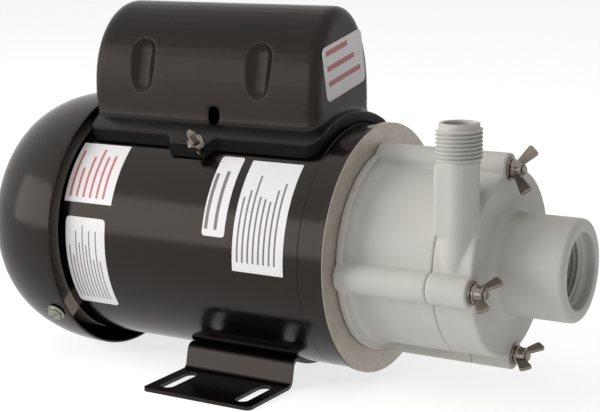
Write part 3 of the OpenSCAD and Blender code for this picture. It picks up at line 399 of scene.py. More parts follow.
@dataclass(frozen=True)
class Finish:
    """A surface of two tones that drift into each other, with specks, a grain and an uneven sheen."""

    name: str
    tone: str
    shade: str
    speck: str
    metallic: float = 0.0
    sheen: tuple[float, float] = (0.4, 0.5)
    patch_mm: float = 25.0
    wipes: float = 2.3
    grain_mm: float = 0.8
    relief_mm: float = 0.01
    speck_mm: float = 0.8
    speck_from: float = 0.72
    specular: float = 0.5
    glint: str = "#ffffff"
    coat: float = 0.0

    def colour(self, tree: bpy.types.NodeTree, where: bpy.types.NodeSocket) -> bpy.types.NodeSocket:
        """Mixes the tones by a slow drift and scatters the specks over them.

        Args:
            tree: The material's node tree.
            where: The socket of the Object coordinates.

        Returns:
            The socket of the colour.
        """
        drift = add(
            tree, "ShaderNodeTexNoise", {"Vector": where, "Scale": 1 / (self.patch_mm * MM), "Detail": 4.0}
        )
        ground = add(
            tree, "ShaderNodeMix", {0: drift.outputs[0], 6: linear(self.tone), 7: linear(self.shade)},
            data_type="RGBA"
        )
        # The specks are dust, chips and marks, apart from the nickel plate's, which are painted glints
        dust_and_glints = add(
            tree, "ShaderNodeTexNoise", {"Vector": where, "Scale": 1 / (self.speck_mm * MM), "Detail": 2.0}
        )
        share = add(
            tree, "ShaderNodeMapRange",
            {0: dust_and_glints.outputs[0], 1: self.speck_from, 2: self.speck_from + 0.06, 3: 0.0, 4: 0.7},
        )
        return add(
            tree, "ShaderNodeMix", {0: share.outputs[0], 6: ground.outputs[2], 7: linear(self.speck)},
            data_type="RGBA"
        ).outputs[2]

    def height(self, tree: bpy.types.NodeTree, where: bpy.types.NodeSocket) -> bpy.types.NodeSocket:
        """Gives the grain that the surface's relief comes from.

        Args:
            tree: The material's node tree.
            where: The socket of the Object coordinates.

        Returns:
            The socket of the height, from 0 to 1.
        """
        grain = add(
            tree, "ShaderNodeTexNoise", {"Vector": where, "Scale": 1 / (self.grain_mm * MM), "Detail": 2.0}
        )
        return grain.outputs[0]

    def material(self) -> bpy.types.Material:
        """Makes the material once, and returns it."""
        known = bpy.data.materials.get(self.name)
        if known:
            return known
        made = bpy.data.materials.new(self.name)
        made.use_nodes = True
        tree = made.node_tree
        tree.nodes.clear()
        where = add(tree, "ShaderNodeTexCoord").outputs["Object"]
        wipe = add(
            tree, "ShaderNodeTexNoise",
            {"Vector": where, "Scale": self.wipes / (self.patch_mm * MM), "Detail": 3.0}
        )
        rough = add(
            tree, "ShaderNodeMapRange",
            {0: wipe.outputs[0], 1: 0.3, 2: 0.7, 3: self.sheen[0], 4: self.sheen[1]}
        )
        relief = add(
            tree, "ShaderNodeBump",
            {"Height": self.height(tree, where), "Strength": 1.0, "Distance": self.relief_mm * MM}
        )
        shader = add(
            tree, "ShaderNodeBsdfPrincipled",
            {
                "Base Color": self.colour(tree, where), "Roughness": rough.outputs[0],
                "Metallic": self.metallic, "Specular IOR Level": self.specular,
                "Specular Tint": linear(self.glint), "Coat Weight": self.coat, "Normal": relief.outputs[0],
            },
        )
        add(tree, "ShaderNodeOutputMaterial", {"Surface": shader.outputs[0]})
        return made


@dataclass(frozen=True)
class WoundFinish(Finish):
    """A winding: parallel lacquered turns of wire, which the eye reads as fine ridges."""

    wire_mm: float = 0.9

    def height(self, tree: bpy.types.NodeTree, where: bpy.types.NodeSocket) -> bpy.types.NodeSocket:
        """Gives the ridges of the turns.

        Args:
            tree: The material's node tree.
            where: The socket of the Object coordinates.

        Returns:
            The socket of the height, from 0 to 1.
        """
        turns = add(
            tree, "ShaderNodeTexWave",
            {"Vector": where, "Scale": 0.314 / (self.wire_mm * MM), "Distortion": 2.0},
            bands_direction="DIAGONAL",
        )
        return turns.outputs[1]


@dataclass(frozen=True)
class RuledLabel(Finish):
    """Label stock on the round shell: plain rules of uneven length across it, and no lettering."""

    ink: str = "#77706e"
    low: float = 0.0
    high: float = 40.0
    front: float = 0.0
    length: float = 30.0
    rows: int = 8
    weight: float = 0.35
    seed: float = 0.0

    def across(
        self, tree: bpy.types.NodeTree, where: bpy.types.NodeSocket
    ) -> tuple[bpy.types.NodeSocket, bpy.types.NodeSocket]:
        """Measures the label: how far round it a point is, and how far along it.

        Args:
            tree: The material's node tree.
            where: The socket of the Object coordinates.

        Returns:
            Sockets of the share round the label and the share along it, both from 0 to 1.
        """
        spot = add(tree, "ShaderNodeSeparateXYZ", {0: where})
        up = add(tree, "ShaderNodeMath", {0: spot.outputs[2], 1: AXIS_HEIGHT}, operation="SUBTRACT")
        out = add(tree, "ShaderNodeMath", {0: spot.outputs[0], 1: -1.0}, operation="MULTIPLY")
        angle = add(tree, "ShaderNodeMath", {0: up.outputs[0], 1: out.outputs[0]}, operation="ARCTAN2")
        around = add(
            tree, "ShaderNodeMapRange",
            {0: angle.outputs[0], 1: math.radians(self.low), 2: math.radians(self.high), 3: 0.0, 4: 1.0},
        )
        start = -FOOT_SETBACK - self.front * MM
        along = add(
            tree, "ShaderNodeMapRange",
            {0: spot.outputs[1], 1: start, 2: start + self.length * MM, 3: 0.0, 4: 1.0}
        )
        return around.outputs[0], along.outputs[0]

    def colour(self, tree: bpy.types.NodeTree, where: bpy.types.NodeSocket) -> bpy.types.NodeSocket:
        """Draws the rules on the stock.

        Args:
            tree: The material's node tree.
            where: The socket of the Object coordinates.

        Returns:
            The socket of the colour.
        """
        around, along = self.across(tree, where)
        count = add(
            tree, "ShaderNodeMapRange", {0: along, 1: 0.08, 2: 0.92, 3: float(self.rows), 4: 0.0}, clamp=False
        ).outputs[0]
        row = add(tree, "ShaderNodeMath", {0: count}, operation="FLOOR").outputs[0]
        number = add(tree, "ShaderNodeMath", {0: row, 1: self.seed}, operation="ADD").outputs[0]
        chance = add(tree, "ShaderNodeTexWhiteNoise", {"W": number}, noise_dimensions="1D").outputs[0]
        reach = add(tree, "ShaderNodeMapRange", {0: chance, 1: 0.0, 2: 1.0, 3: 0.55, 4: 0.93}).outputs[0]
        part = add(tree, "ShaderNodeMath", {0: count}, operation="FRACT").outputs[0]
        tests = [
            add(tree, "ShaderNodeMath", {0: part, 1: self.weight}, operation="LESS_THAN").outputs[0],
            add(tree, "ShaderNodeMath", {0: around, 1: 0.08}, operation="GREATER_THAN").outputs[0],
            add(tree, "ShaderNodeMath", {0: around, 1: reach}, operation="LESS_THAN").outputs[0],
            add(tree, "ShaderNodeMath", {0: row, 1: -0.5}, operation="GREATER_THAN").outputs[0],
            add(tree, "ShaderNodeMath", {0: row, 1: self.rows - 0.5}, operation="LESS_THAN").outputs[0],
        ]
        ruled = tests[0]
        for test in tests[1:]:
            ruled = add(tree, "ShaderNodeMath", {0: ruled, 1: test}, operation="MULTIPLY").outputs[0]
        stock = super().colour(tree, where)
        return add(
            tree, "ShaderNodeMix", {0: ruled, 6: stock, 7: linear(self.ink)}, data_type="RGBA"
        ).outputs[2]


@dataclass(frozen=True)
class FlatLabel(RuledLabel):
    """Label stock on the cover's flat end, ruled along its own slant."""

    middle: tuple[float, float] = (0.0, 89.5)
    slant: float = 11.0
    size: tuple[float, float] = (39.0, 27.0)

    def across(
        self, tree: bpy.types.NodeTree, where: bpy.types.NodeSocket
    ) -> tuple[bpy.types.NodeSocket, bpy.types.NodeSocket]:
        """Measures the label along its slanted width and height.

        Args:
            tree: The material's node tree.
            where: The socket of the Object coordinates.

        Returns:
            Sockets of the share along the width and the share up the height, both from 0 to 1.
        """
        centre = (self.middle[0] * MM, 0.0, AXIS_HEIGHT + self.middle[1] * MM)
        turned = add(
            tree, "ShaderNodeMapping", {0: where, 1: centre, 2: (0.0, -math.radians(self.slant), 0.0)},
            vector_type="TEXTURE",
        )
        spot = add(tree, "ShaderNodeSeparateXYZ", {0: turned.outputs[0]})
        half_width, half_height = self.size[0] * MM / 2, self.size[1] * MM / 2
        wide = add(
            tree, "ShaderNodeMapRange", {0: spot.outputs[0], 1: -half_width, 2: half_width, 3: 0.0, 4: 1.0}
        )
        high = add(
            tree, "ShaderNodeMapRange",
            {0: spot.outputs[2], 1: -half_height, 2: half_height, 3: 0.0, 4: 1.0}
        )
        return wide.outputs[0], high.outputs[0]


# Baked enamel on pressed steel: a warm glossy black, with faint orange peel and a little dust
BLACK_ENAMEL = Finish(
    "baked_black_enamel", "#080707", "#060505", "#2b2725", sheen=(0.13, 0.19), patch_mm=30, grain_mm=1.4,
    relief_mm=0.002, speck_mm=0.9, speck_from=0.78, specular=0.5, glint="#fff1e7",
)
# The same enamel on the deep-pressed cover: duller, so bright shapes spread into soft gradients
SATIN_ENAMEL = Finish(
    "satin_black_enamel", "#080707", "#060505", "#2b2725", sheen=(0.24, 0.3), patch_mm=30, grain_mm=1.4,
    relief_mm=0.002, speck_mm=0.9, speck_from=0.78, specular=0.36, glint="#fff1e7",
)
# Enamel of the saddle's turned-down edge with painted shade: a darker, duller, nearly unreflecting copy of
# the black enamel, so the band under the cover stays nearly black
SHADED_SADDLE_ENAMEL = Finish(
    "painted_shade_saddle_enamel", "#060505", "#040404", "#12100f", sheen=(0.45, 0.55), patch_mm=20,
    grain_mm=1.4, relief_mm=0.002, speck_mm=0.9, speck_from=0.85, specular=0.12,
)
# Glass-filled polypropylene, injection moulded: pale grey, matt, with a fine skin and soft flow patches
PUMP_POLYPROPYLENE = Finish(
    "moulded_grey_polypropylene", "#bcbab4", "#b2b0aa", "#c8c6c0", sheen=(0.42, 0.55), patch_mm=14,
    grain_mm=0.9, relief_mm=0.012, speck_mm=1.1, speck_from=0.7, specular=0.4,
)
# Die-cast aluminium, trimmed: warm grey with bright chips and dark pits along the trimmed edge
CAST_ALUMINIUM = Finish(
    "die_cast_aluminium", "#c6bdb3", "#a79e95", "#e8e2da", metallic=0.75, sheen=(0.42, 0.6), patch_mm=5,
    grain_mm=0.7, relief_mm=0.05, speck_mm=0.7, speck_from=0.7,
)
# Nickel plate on a zinc casting: a warm dark grey mirror, slightly uneven, with painted glints, which are
# bright specks in its colour
NICKEL_PLATE = Finish(
    "nickel_plated_zinc_casting", "#a0978d", "#736b63", "#d6cec5", metallic=1.0, sheen=(0.1, 0.22),
    patch_mm=3, grain_mm=0.5, relief_mm=0.012, speck_mm=0.4, speck_from=0.7,
)
# Zinc plate with a clear chromate on rolled steel: bluish-yellow grey and satin
ZINC_STEEL = Finish(
    "zinc_plated_steel", "#b9b9a9", "#8f9184", "#dcdccf", metallic=1.0, sheen=(0.25, 0.42), patch_mm=4,
    grain_mm=0.4, relief_mm=0.006, speck_mm=0.5, speck_from=0.7,
)
# Ground shaft steel: bright, with fine marks of the wheel
SHAFT_STEEL = Finish(
    "ground_shaft_steel", "#bfc0c0", "#a3a4a5", "#dedede", metallic=1.0, sheen=(0.15, 0.3), patch_mm=8,
    grain_mm=0.3, relief_mm=0.003, speck_mm=0.6,
)
# Blued silicon steel laminations: dark blue-grey and satin
LAMINATION_STEEL = Finish(
    "blued_lamination_steel", "#5b6069", "#454a54", "#777a80", metallic=0.9, sheen=(0.35, 0.5), patch_mm=10,
    grain_mm=0.5, relief_mm=0.02, speck_mm=0.7,
)
# Enamelled copper wire under varnish: amber-red ridges
COPPER_WINDING = WoundFinish(
    "varnished_copper_winding", "#9c4f26", "#7a3a1c", "#c07a45", metallic=0.6, sheen=(0.25, 0.4),
    patch_mm=9, relief_mm=0.25, speck_mm=1.2, coat=0.4,
)
# Die-cast aluminium of the rotor's cage: silver grey and slightly rough
CAGE_ALUMINIUM = Finish(
    "cast_cage_aluminium", "#b9bbbc", "#9b9d9f", "#d5d6d6", metallic=1.0, sheen=(0.4, 0.55), patch_mm=6,
    grain_mm=0.8, relief_mm=0.03, speck_mm=0.8,
)
# Moulded black rubber: dull, with a bloom of paler dust
BLACK_RUBBER = Finish(
    "moulded_black_rubber", "#171515", "#201d1c", "#37322f", sheen=(0.6, 0.78), patch_mm=12, grain_mm=0.6,
    relief_mm=0.02, speck_mm=0.7, specular=0.3,
)
# Sintered alumina: ivory white, smooth and hard
ALUMINA = Finish(
    "sintered_alumina", "#ece6da", "#e2dacb", "#f6f2ea", sheen=(0.2, 0.3), patch_mm=6, grain_mm=0.4,
    relief_mm=0.004,
)
# Sintered ferrite: charcoal, fine grained and dull
FERRITE = Finish(
    "sintered_ferrite", "#3a3a3c", "#2c2c2e", "#56565a", metallic=0.2, sheen=(0.5, 0.65), patch_mm=4,
    grain_mm=0.4, relief_mm=0.02, speck_mm=0.5,
)
# Unfilled polypropylene of the impeller: milky and satin
IMPELLER_POLYPROPYLENE = Finish(
    "moulded_milky_polypropylene", "#d8d7cf", "#cac9c0", "#e6e5df", sheen=(0.35, 0.48), patch_mm=10,
    grain_mm=0.8, relief_mm=0.008,
)
# Nylon of the fan: near black, satin, with a moulded skin
FAN_NYLON = Finish(
    "moulded_black_nylon", "#262627", "#1d1d1e", "#3c3c3e", sheen=(0.4, 0.55), patch_mm=12, grain_mm=0.7,
    relief_mm=0.012,
)
# Drawn aluminium can: pale grey with faint draw marks
DRAWN_CAN = Finish(
    "drawn_aluminium_can", "#c3c5c6", "#abadaf", "#dcdddd", metallic=1.0, sheen=(0.28, 0.4), patch_mm=15,
    grain_mm=0.5, relief_mm=0.008,
)
# PVC insulation: blue, soft sheen
LEAD_PVC = Finish(
    "blue_pvc_insulation", "#3d4f8a", "#344577", "#5567a0", sheen=(0.35, 0.45), patch_mm=6, grain_mm=0.5,
    relief_mm=0.008,
)
# Vinyl label stock: off white, smooth, a little soiled
LABEL_VINYL = Finish(
    "plain_label_vinyl", "#dddada", "#d2cfcf", "#bdb8b6", sheen=(0.35, 0.5), patch_mm=9, grain_mm=0.5,
    relief_mm=0.003, speck_mm=0.7, speck_from=0.78,
)

FINISHES: dict[str, Finish] = {
    "black_paint": BLACK_ENAMEL, "cast_bell": CAST_ALUMINIUM, "pump_plastic": PUMP_POLYPROPYLENE,
    "nickel_hardware": NICKEL_PLATE, "zinc_steel": ZINC_STEEL, "shaft_steel": SHAFT_STEEL,
    "lamination_steel": LAMINATION_STEEL, "copper_winding": COPPER_WINDING,
    "cage_aluminium": CAGE_ALUMINIUM, "black_rubber": BLACK_RUBBER, "ceramic": ALUMINA, "magnet": FERRITE,
    "impeller_plastic": IMPELLER_POLYPROPYLENE, "fan_plastic": FAN_NYLON, "capacitor_can": DRAWN_CAN,
    "lead_insulation": LEAD_PVC, "sticker": LABEL_VINYL,
}


def settle(
    piece: bpy.types.Object, body: str, slot: str, nodes: Sequence[str] = (), finish: Optional[Finish] = None
) -> None:
    """Gives a finished piece the material of its slot or its own finish, puts it on its body and hides the
    CAD nodes it stands for.

    Args:
        piece: The finished piece.
        body: The CAD body that it rides on.
        slot: The record's material slot.
        nodes: The CAD nodes that it replaces.
        finish: Its finish, where that isn't the slot's own.
    """
    piece.data.materials.clear()
    piece.data.materials.append((finish or FINISHES[slot]).material())
    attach(piece, body)
    if nodes:
        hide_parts(*nodes)
    log.info("%s: %d faces on %s", piece.name, len(piece.data.polygons), body)


# Sub-assemblies


@dataclass
class Motor:
    """The painted shell and the cast bell at its front."""

    shell_r: float = 60.7
    wall: float = 1.5
    front: float = -3.0
    rear: float = -158.0
    seam: float = -14.4
    seam_half: float = 0.22
    edge: float = 0.35

    def build_shell(self) -> bpy.types.Object:
        """Turns the shell with its broken ends and the fine seam behind the bell."""
        inner = self.shell_r - self.wall
        outline = [
            (inner, self.rear), (self.shell_r - self.edge, self.rear), (self.shell_r, self.rear + self.edge),
            (self.shell_r, self.seam - self.seam_half), (self.shell_r - 0.25, self.seam),
            (self.shell_r, self.seam + self.seam_half), (self.shell_r, self.front - self.edge),
            (self.shell_r - self.edge, self.front), (inner, self.front), (inner, self.rear),
        ]
        shell = lathe("shell_tube", outline, 160)
        shade(shell, 20)
        place(shell, SHAFT)
        return shell

    def build_bell(self) -> bpy.types.Object:
        """Breaks the cast bell's edges."""
        bell = blank_of("front_end_bell", "cast_front_bell")
        soften(bell, 0.45, 2)
        return bell

    def dress(self) -> None:
        """Builds and settles both pieces."""
        settle(self.build_shell(), "pump_frame", "black_paint", ["motor_shell"])
        bell = self.build_bell()
        settle(bell, "pump_frame", "cast_bell", ["front_end_bell"])
        bell.data.materials.append(BLACK_ENAMEL.material())
        for face in bell.data.polygons:
            face.material_index = 0 if face.normal.y < -0.3 else 1


@dataclass
class FanCover:
    """The drawn cover over the fan, its air holes and its three screws."""

    radius: float = 69.0
    sheet: float = 1.2
    rim: float = -157.0
    dome: float = -161.0
    back: float = -209.4
    flat: float = 44.0
    vent_r: float = 2.4
    vent_pitch: float = 8.0
    vent_rings: int = 4
    screw_z: float = -165.0
    screw_lift: float = 0.2
    screw_turns: tuple[float, ...] = (216.0, 336.0, 96.0)

    def build_cover(self) -> bpy.types.Object:
        """Spins the drawn cover and pierces its rear end."""
        drop, depth = self.radius - self.flat, self.dome - self.back
        outer_dome = ellipse((self.flat, self.dome), (drop, depth), -90, 0, 28)
        inner_dome = ellipse((self.flat, self.dome), (drop - self.sheet, depth - self.sheet), 0, -90, 28)
        lip = ellipse(
            (self.radius - self.sheet / 2, self.rim - self.sheet / 2), (self.sheet / 2,) * 2, 0, 180, 6
        )
        outline = [(0, self.back)] + outer_dome + lip + inner_dome + [(0, self.back + self.sheet)]
        cover = lathe("drawn_fan_cover", outline, 128)
        combine(cover, self.vent_cutters(), "DIFFERENCE")
        shade(cover, 35)
        place(cover, SHAFT)
        return cover

    def vent_cutters(self) -> bpy.types.Object:
        """Makes the pins that pierce the air holes, joined as one cutter."""
        spots = [(0.0, 0.0)]
        for ring in range(1, self.vent_rings + 1):
            for i in range(6 * ring):
                angle = math.tau * i / (6 * ring)
                spots.append(
                    (ring * self.vent_pitch * math.cos(angle), ring * self.vent_pitch * math.sin(angle))
                )
        first = drum("vent_pins", self.vent_r, self.back - 2, self.back + self.sheet + 2, 20)
        pins = []
        for x, y in spots[1:]:
            pin = twin(first, "vent_pin")
            place(pin, Matrix.Translation((x * MM, y * MM, 0)))
            pins.append(pin)
        weld(first, pins)
        return first

    def build_screw(self) -> bpy.types.Object:
        """Shapes one slotted hexagon screw with its washer face, along z."""
        head = drum("hex_head", 4.0, 0.8, 3.0, 6)
        soften(head, 0.4, 2)
        washer = lathe(
            "cover_screw",
            [(0, -6), (2, -6), (2, 0), (4.7, 0), (5, 0.3), (5, 0.7), (4.7, 1), (0, 1), (0, -6)], 48
        )
        combine(washer, head, "UNION")
        deselect()
        bpy.ops.mesh.primitive_cube_add(size=1, location=(0, 0, 3 * MM), scale=(12 * MM, 1.2 * MM, 2.4 * MM))
        combine(washer, added("driver_slot"), "DIFFERENCE")
        shade(washer, 30)
        return washer

    def dress(self) -> None:
        """Builds and settles the cover and its screws."""
        settle(self.build_cover(), "pump_frame", "black_paint", ["fan_cover"])
        pattern = self.build_screw()
        for i, turn in enumerate(self.screw_turns):
            screw = twin(pattern, f"fan_cover_screw_{i + 1}")
            seat = Matrix.Translation(((self.radius + self.screw_lift) * MM, 0, self.screw_z * MM))
            spun = Matrix.Rotation(math.radians(35 + 50 * i), 4, "Z")
            upright = Matrix.Rotation(math.radians(90), 4, "Y")
            place(screw, SHAFT @ Matrix.Rotation(math.radians(turn), 4, "Z") @ seat @ upright @ spun)
            settle(screw, "pump_frame", "zinc_steel", ["fan_cover_screws"])
        discard(pattern)


@dataclass
class CapacitorCover:
    """The pressed cover on top, with its studs and hexagon nuts."""

    stud_z: float = -81.1
    shell_r: float = 60.7
    stud_angle: float = 40.0
    stud_r: float = 2.0
    stud_len: float = 17.0
    pitch: float = 0.7
    seat_r: float = 67.15
    nut_r: float = 4.6
    nut_h: float = 3.6
    root_half: float = 35.0
    root_drop: float = 2.0
    root_rise: float = 7.0
    saddle_drop: float = 0.6

    def build_cover(self) -> bpy.types.Object:
        """Presses the cover from the CAD shape, with soft bends and dents."""
        cover = blank_of("capacitor_cover", "pressed_capacitor_cover")
        mould(cover, 0.6, 7, 0.4, self.at_root)
        return cover

    def reach(self, spot: Vector) -> float:
        """Measures how far a point lies from the shaft's axis, in millimetres."""
        return math.hypot(spot.x, spot.z - AXIS_HEIGHT) / MM

    def at_root(self, spot: Vector) -> bool:
        """Says whether a point lies in the bend between the cover's wall and its saddle."""
        above = self.reach(spot) - self.seat_r
        return -self.root_drop < above < self.root_rise and abs(spot.x) / MM < self.root_half

    def on_saddle(self, spot: Vector) -> bool:
        """Says whether a point lies on the saddle's turned-down edge, which takes the enamel with painted
        shade.
        """
        return self.reach(spot) < self.seat_r - self.saddle_drop

    def build_stud(self) -> bpy.types.Object:
        """Turns one stud along z and cuts its thread."""
        core = self.stud_r - 0.38
        top = self.stud_len
        stud = lathe("cover_stud", [(0, 0), (core, 0), (core, top - 0.6), (core - 0.5, top), (0, top)], 24)
        thread = coil("stud_thread", core - 0.05, self.stud_r, self.pitch, int((top - 3) / self.pitch), 24)
        place(thread, Matrix.Translation((0, 0, 2 * MM)))
        weld(stud, [thread])
        shade(stud, 30)
        return stud

    def build_nut(self) -> bpy.types.Object:
        """Shapes one hexagon nut along z, crowned by turning its corners."""
        nut = drum("cover_nut", self.nut_r, 0, self.nut_h, 6)
        crown = lathe(
            "crown",
            [
                (0, -0.01), (4.1, -0.01), (4.7, 0.45), (4.7, self.nut_h - 0.55), (4, self.nut_h + 0.01),
                (0, self.nut_h + 0.01),
            ],
            48,
        )
        combine(nut, crown, "INTERSECT")
        combine(nut, drum("tapping", self.stud_r + 0.1, -1, self.nut_h + 1, 32), "DIFFERENCE")
        shade(nut, 25)
        return nut

    def dress(self) -> None:
        """Builds and settles the cover, and a stud and a nut on each side."""
        cover = self.build_cover()
        settle(cover, "pump_frame", "black_paint", ["capacitor_cover"], SATIN_ENAMEL)
        # The saddle's turned-down edge takes the copy of the enamel with painted shade
        cover.data.materials.append(SHADED_SADDLE_ENAMEL.material())
        for face in cover.data.polygons:
            face.material_index = 1 if self.on_saddle(face.center) else 0
        for i, side in enumerate((-1, 1)):
            lean = SHAFT @ Matrix.Rotation(math.radians(90 + side * self.stud_angle), 4, "Z")
            upright = Matrix.Rotation(math.radians(90), 4, "Y")
            stud = self.build_stud()
            stud.name = f"cover_stud_{i + 1}"
            place(stud, lean @ Matrix.Translation((self.shell_r * MM, 0, self.stud_z * MM)) @ upright)
            settle(stud, "pump_frame", "nickel_hardware", ["cover_studs"])
            nut = self.build_nut()
            nut.name = f"cover_nut_{i + 1}"
            spun = Matrix.Rotation(math.radians(17 + 20 * i), 4, "Z")
            place(nut, lean @ Matrix.Translation((self.seat_r * MM, 0, self.stud_z * MM)) @ upright @ spun)
            settle(nut, "pump_frame", "nickel_hardware", ["cover_nuts"])


@dataclass
class Foot:
    """The bent sheet foot with its four slots."""

    edge: float = 0.4

    def dress(self) -> None:
        """Breaks the sheet's edges and settles the foot."""
        foot = blank_of("mounting_foot", "bent_sheet_foot")
        soften(foot, self.edge, 2, 40)
        settle(foot, "pump_frame", "black_paint", ["mounting_foot"])


@dataclass
class PumpHead:
    """The moulded bracket and housing, with the threads of the inlet and the discharge."""

    bracket_r: float = 45.3
    flange_t: float = 4.0
    fillet: float = 3.6
    cheek_half: float = 9.26
    cheek_low: float = 20.0
    cheek_high: float = 52.6
    cheek_back: float = 48.3
    cheek_wall: float = 44.0
    cheek_bore: float = 8.3
    pipe_x: float = -36.1
    pipe_z: float = 56.6
    pipe_core: float = 9.5
    pipe_crest: float = 10.67
    pipe_low: float = 52.9
    pipe_high: float = 67.5
    pipe_pitch: float = 1.814
    inlet_root: float = 16.5
    inlet_crest: float = 15.2
    inlet_low: float = 74.6
    inlet_high: float = 96.6
    inlet_pitch: float = 2.209

    def pipe_frame(self) -> Matrix:
        """Returns the frame of the discharge: z up the pipe, from the shaft's height."""
        upright = Matrix.Rotation(math.radians(-90), 4, "X")
        return SHAFT @ Matrix.Translation((self.pipe_x * MM, 0, self.pipe_z * MM)) @ upright

    def build_bracket(self) -> bpy.types.Object:
        """Moulds the bracket between the motor and the pump housing."""
        bracket = blank_of("pump_bracket", "moulded_bracket")
        wall, top = self.bracket_r, self.flange_t
        hollow = ellipse((wall + self.fillet, top + self.fillet), (self.fillet,) * 2, 270, 180, 8)
        ring = [(wall - 2, top - 1), (wall + self.fillet, top - 1)] + hollow + [(wall - 2, top + self.fillet)]
        web = lathe("flange_fillet", ring + ring[:1], 128)
        place(web, SHAFT)
        combine(bracket, web, "UNION")
        mould(bracket, 0.65, 5, 0.45)
        return bracket

    def build_cheeks(self) -> bpy.types.Object:
        """Blocks out the flat sides that join the round pipe to the seam, clear of the pump's hollow."""
        low, high = self.cheek_low * MM, self.cheek_high * MM
        back, front = self.cheek_back * MM, self.pipe_z * MM
        bpy.ops.mesh.primitive_cube_add(size=1)
        cheeks = added("pipe_cheeks")
        size = Matrix.Diagonal((2 * self.cheek_half * MM, high - low, front - back, 1))
        middle = Matrix.Translation((self.pipe_x * MM, (low + high) / 2, (back + front) / 2))
        place(cheeks, SHAFT @ middle @ size)
        hollow = drum("pump_hollow", self.cheek_wall, self.cheek_back - 1, self.pipe_z + 1, 96)
        place(hollow, SHAFT)
        combine(cheeks, hollow, "DIFFERENCE")
        bore = drum("pipe_hollow", self.cheek_bore, 0, self.pipe_high, 64)
        place(bore, self.pipe_frame())
        combine(cheeks, bore, "DIFFERENCE")
        return cheeks

    def build_housing(self) -> bpy.types.Object:
        """Moulds the housing, with room for both threads."""
        housing = blank_of("pump_housing", "moulded_pump_housing")
        combine(housing, self.build_cheeks(), "UNION")
        relief = lathe(
            "thread_relief",
            [
                (self.pipe_core, self.pipe_low), (self.pipe_crest + 2, self.pipe_low),
                (self.pipe_crest + 2, self.pipe_high), (self.pipe_core, self.pipe_high),
                (self.pipe_core, self.pipe_low),
            ],
            64,
        )
        place(relief, self.pipe_frame())
        combine(housing, relief, "DIFFERENCE")
        bore = drum("inlet_bore", self.inlet_root, self.inlet_low, self.inlet_high + 0.5, 96)
        place(bore, SHAFT)
        combine(housing, bore, "DIFFERENCE")
        mould(housing, 0.65, 5, 0.45)
        return housing

    def build_threads(self) -> list[bpy.types.Object]:
        """Cuts the outside thread of the discharge and the inside thread of the inlet."""
        turns = int((self.pipe_high - self.pipe_low) / self.pipe_pitch)
        outside = coil(
            "discharge_thread_ridge", self.pipe_core - 0.3, self.pipe_crest, self.pipe_pitch, turns, 72
        )
        place(
            outside,
            self.pipe_frame() @ Matrix.Translation((0, 0, (self.pipe_low + self.pipe_pitch / 2) * MM))
        )
        turns = int((self.inlet_high - self.inlet_low) / self.inlet_pitch)
        inside = coil(
            "inlet_thread_ridge", self.inlet_root + 0.3, self.inlet_crest, self.inlet_pitch, turns, 72
        )
        low_end = Matrix.Translation((0, 0, (self.inlet_low + self.inlet_pitch / 2) * MM))
        place(inside, SHAFT @ low_end @ Matrix.Rotation(math.pi, 4, "Z"))
        for thread in (outside, inside):
            shade(thread, 50)
        return [outside, inside]

    def dress(self) -> None:
        """Builds and settles the moulded pieces and the threads."""
        settle(self.build_bracket(), "pump_frame", "pump_plastic", ["pump_bracket"])
        settle(self.build_housing(), "pump_frame", "pump_plastic", ["pump_housing"])
        for thread in self.build_threads():
            settle(thread, "pump_frame", "pump_plastic")


class Corner(Enum):
    """A clamp stud's corner, by its angle round the shaft in degrees."""

    RIGHT = 5.0
    TOP = 95.0
    LEFT = 185.0
    BOTTOM = 275.0


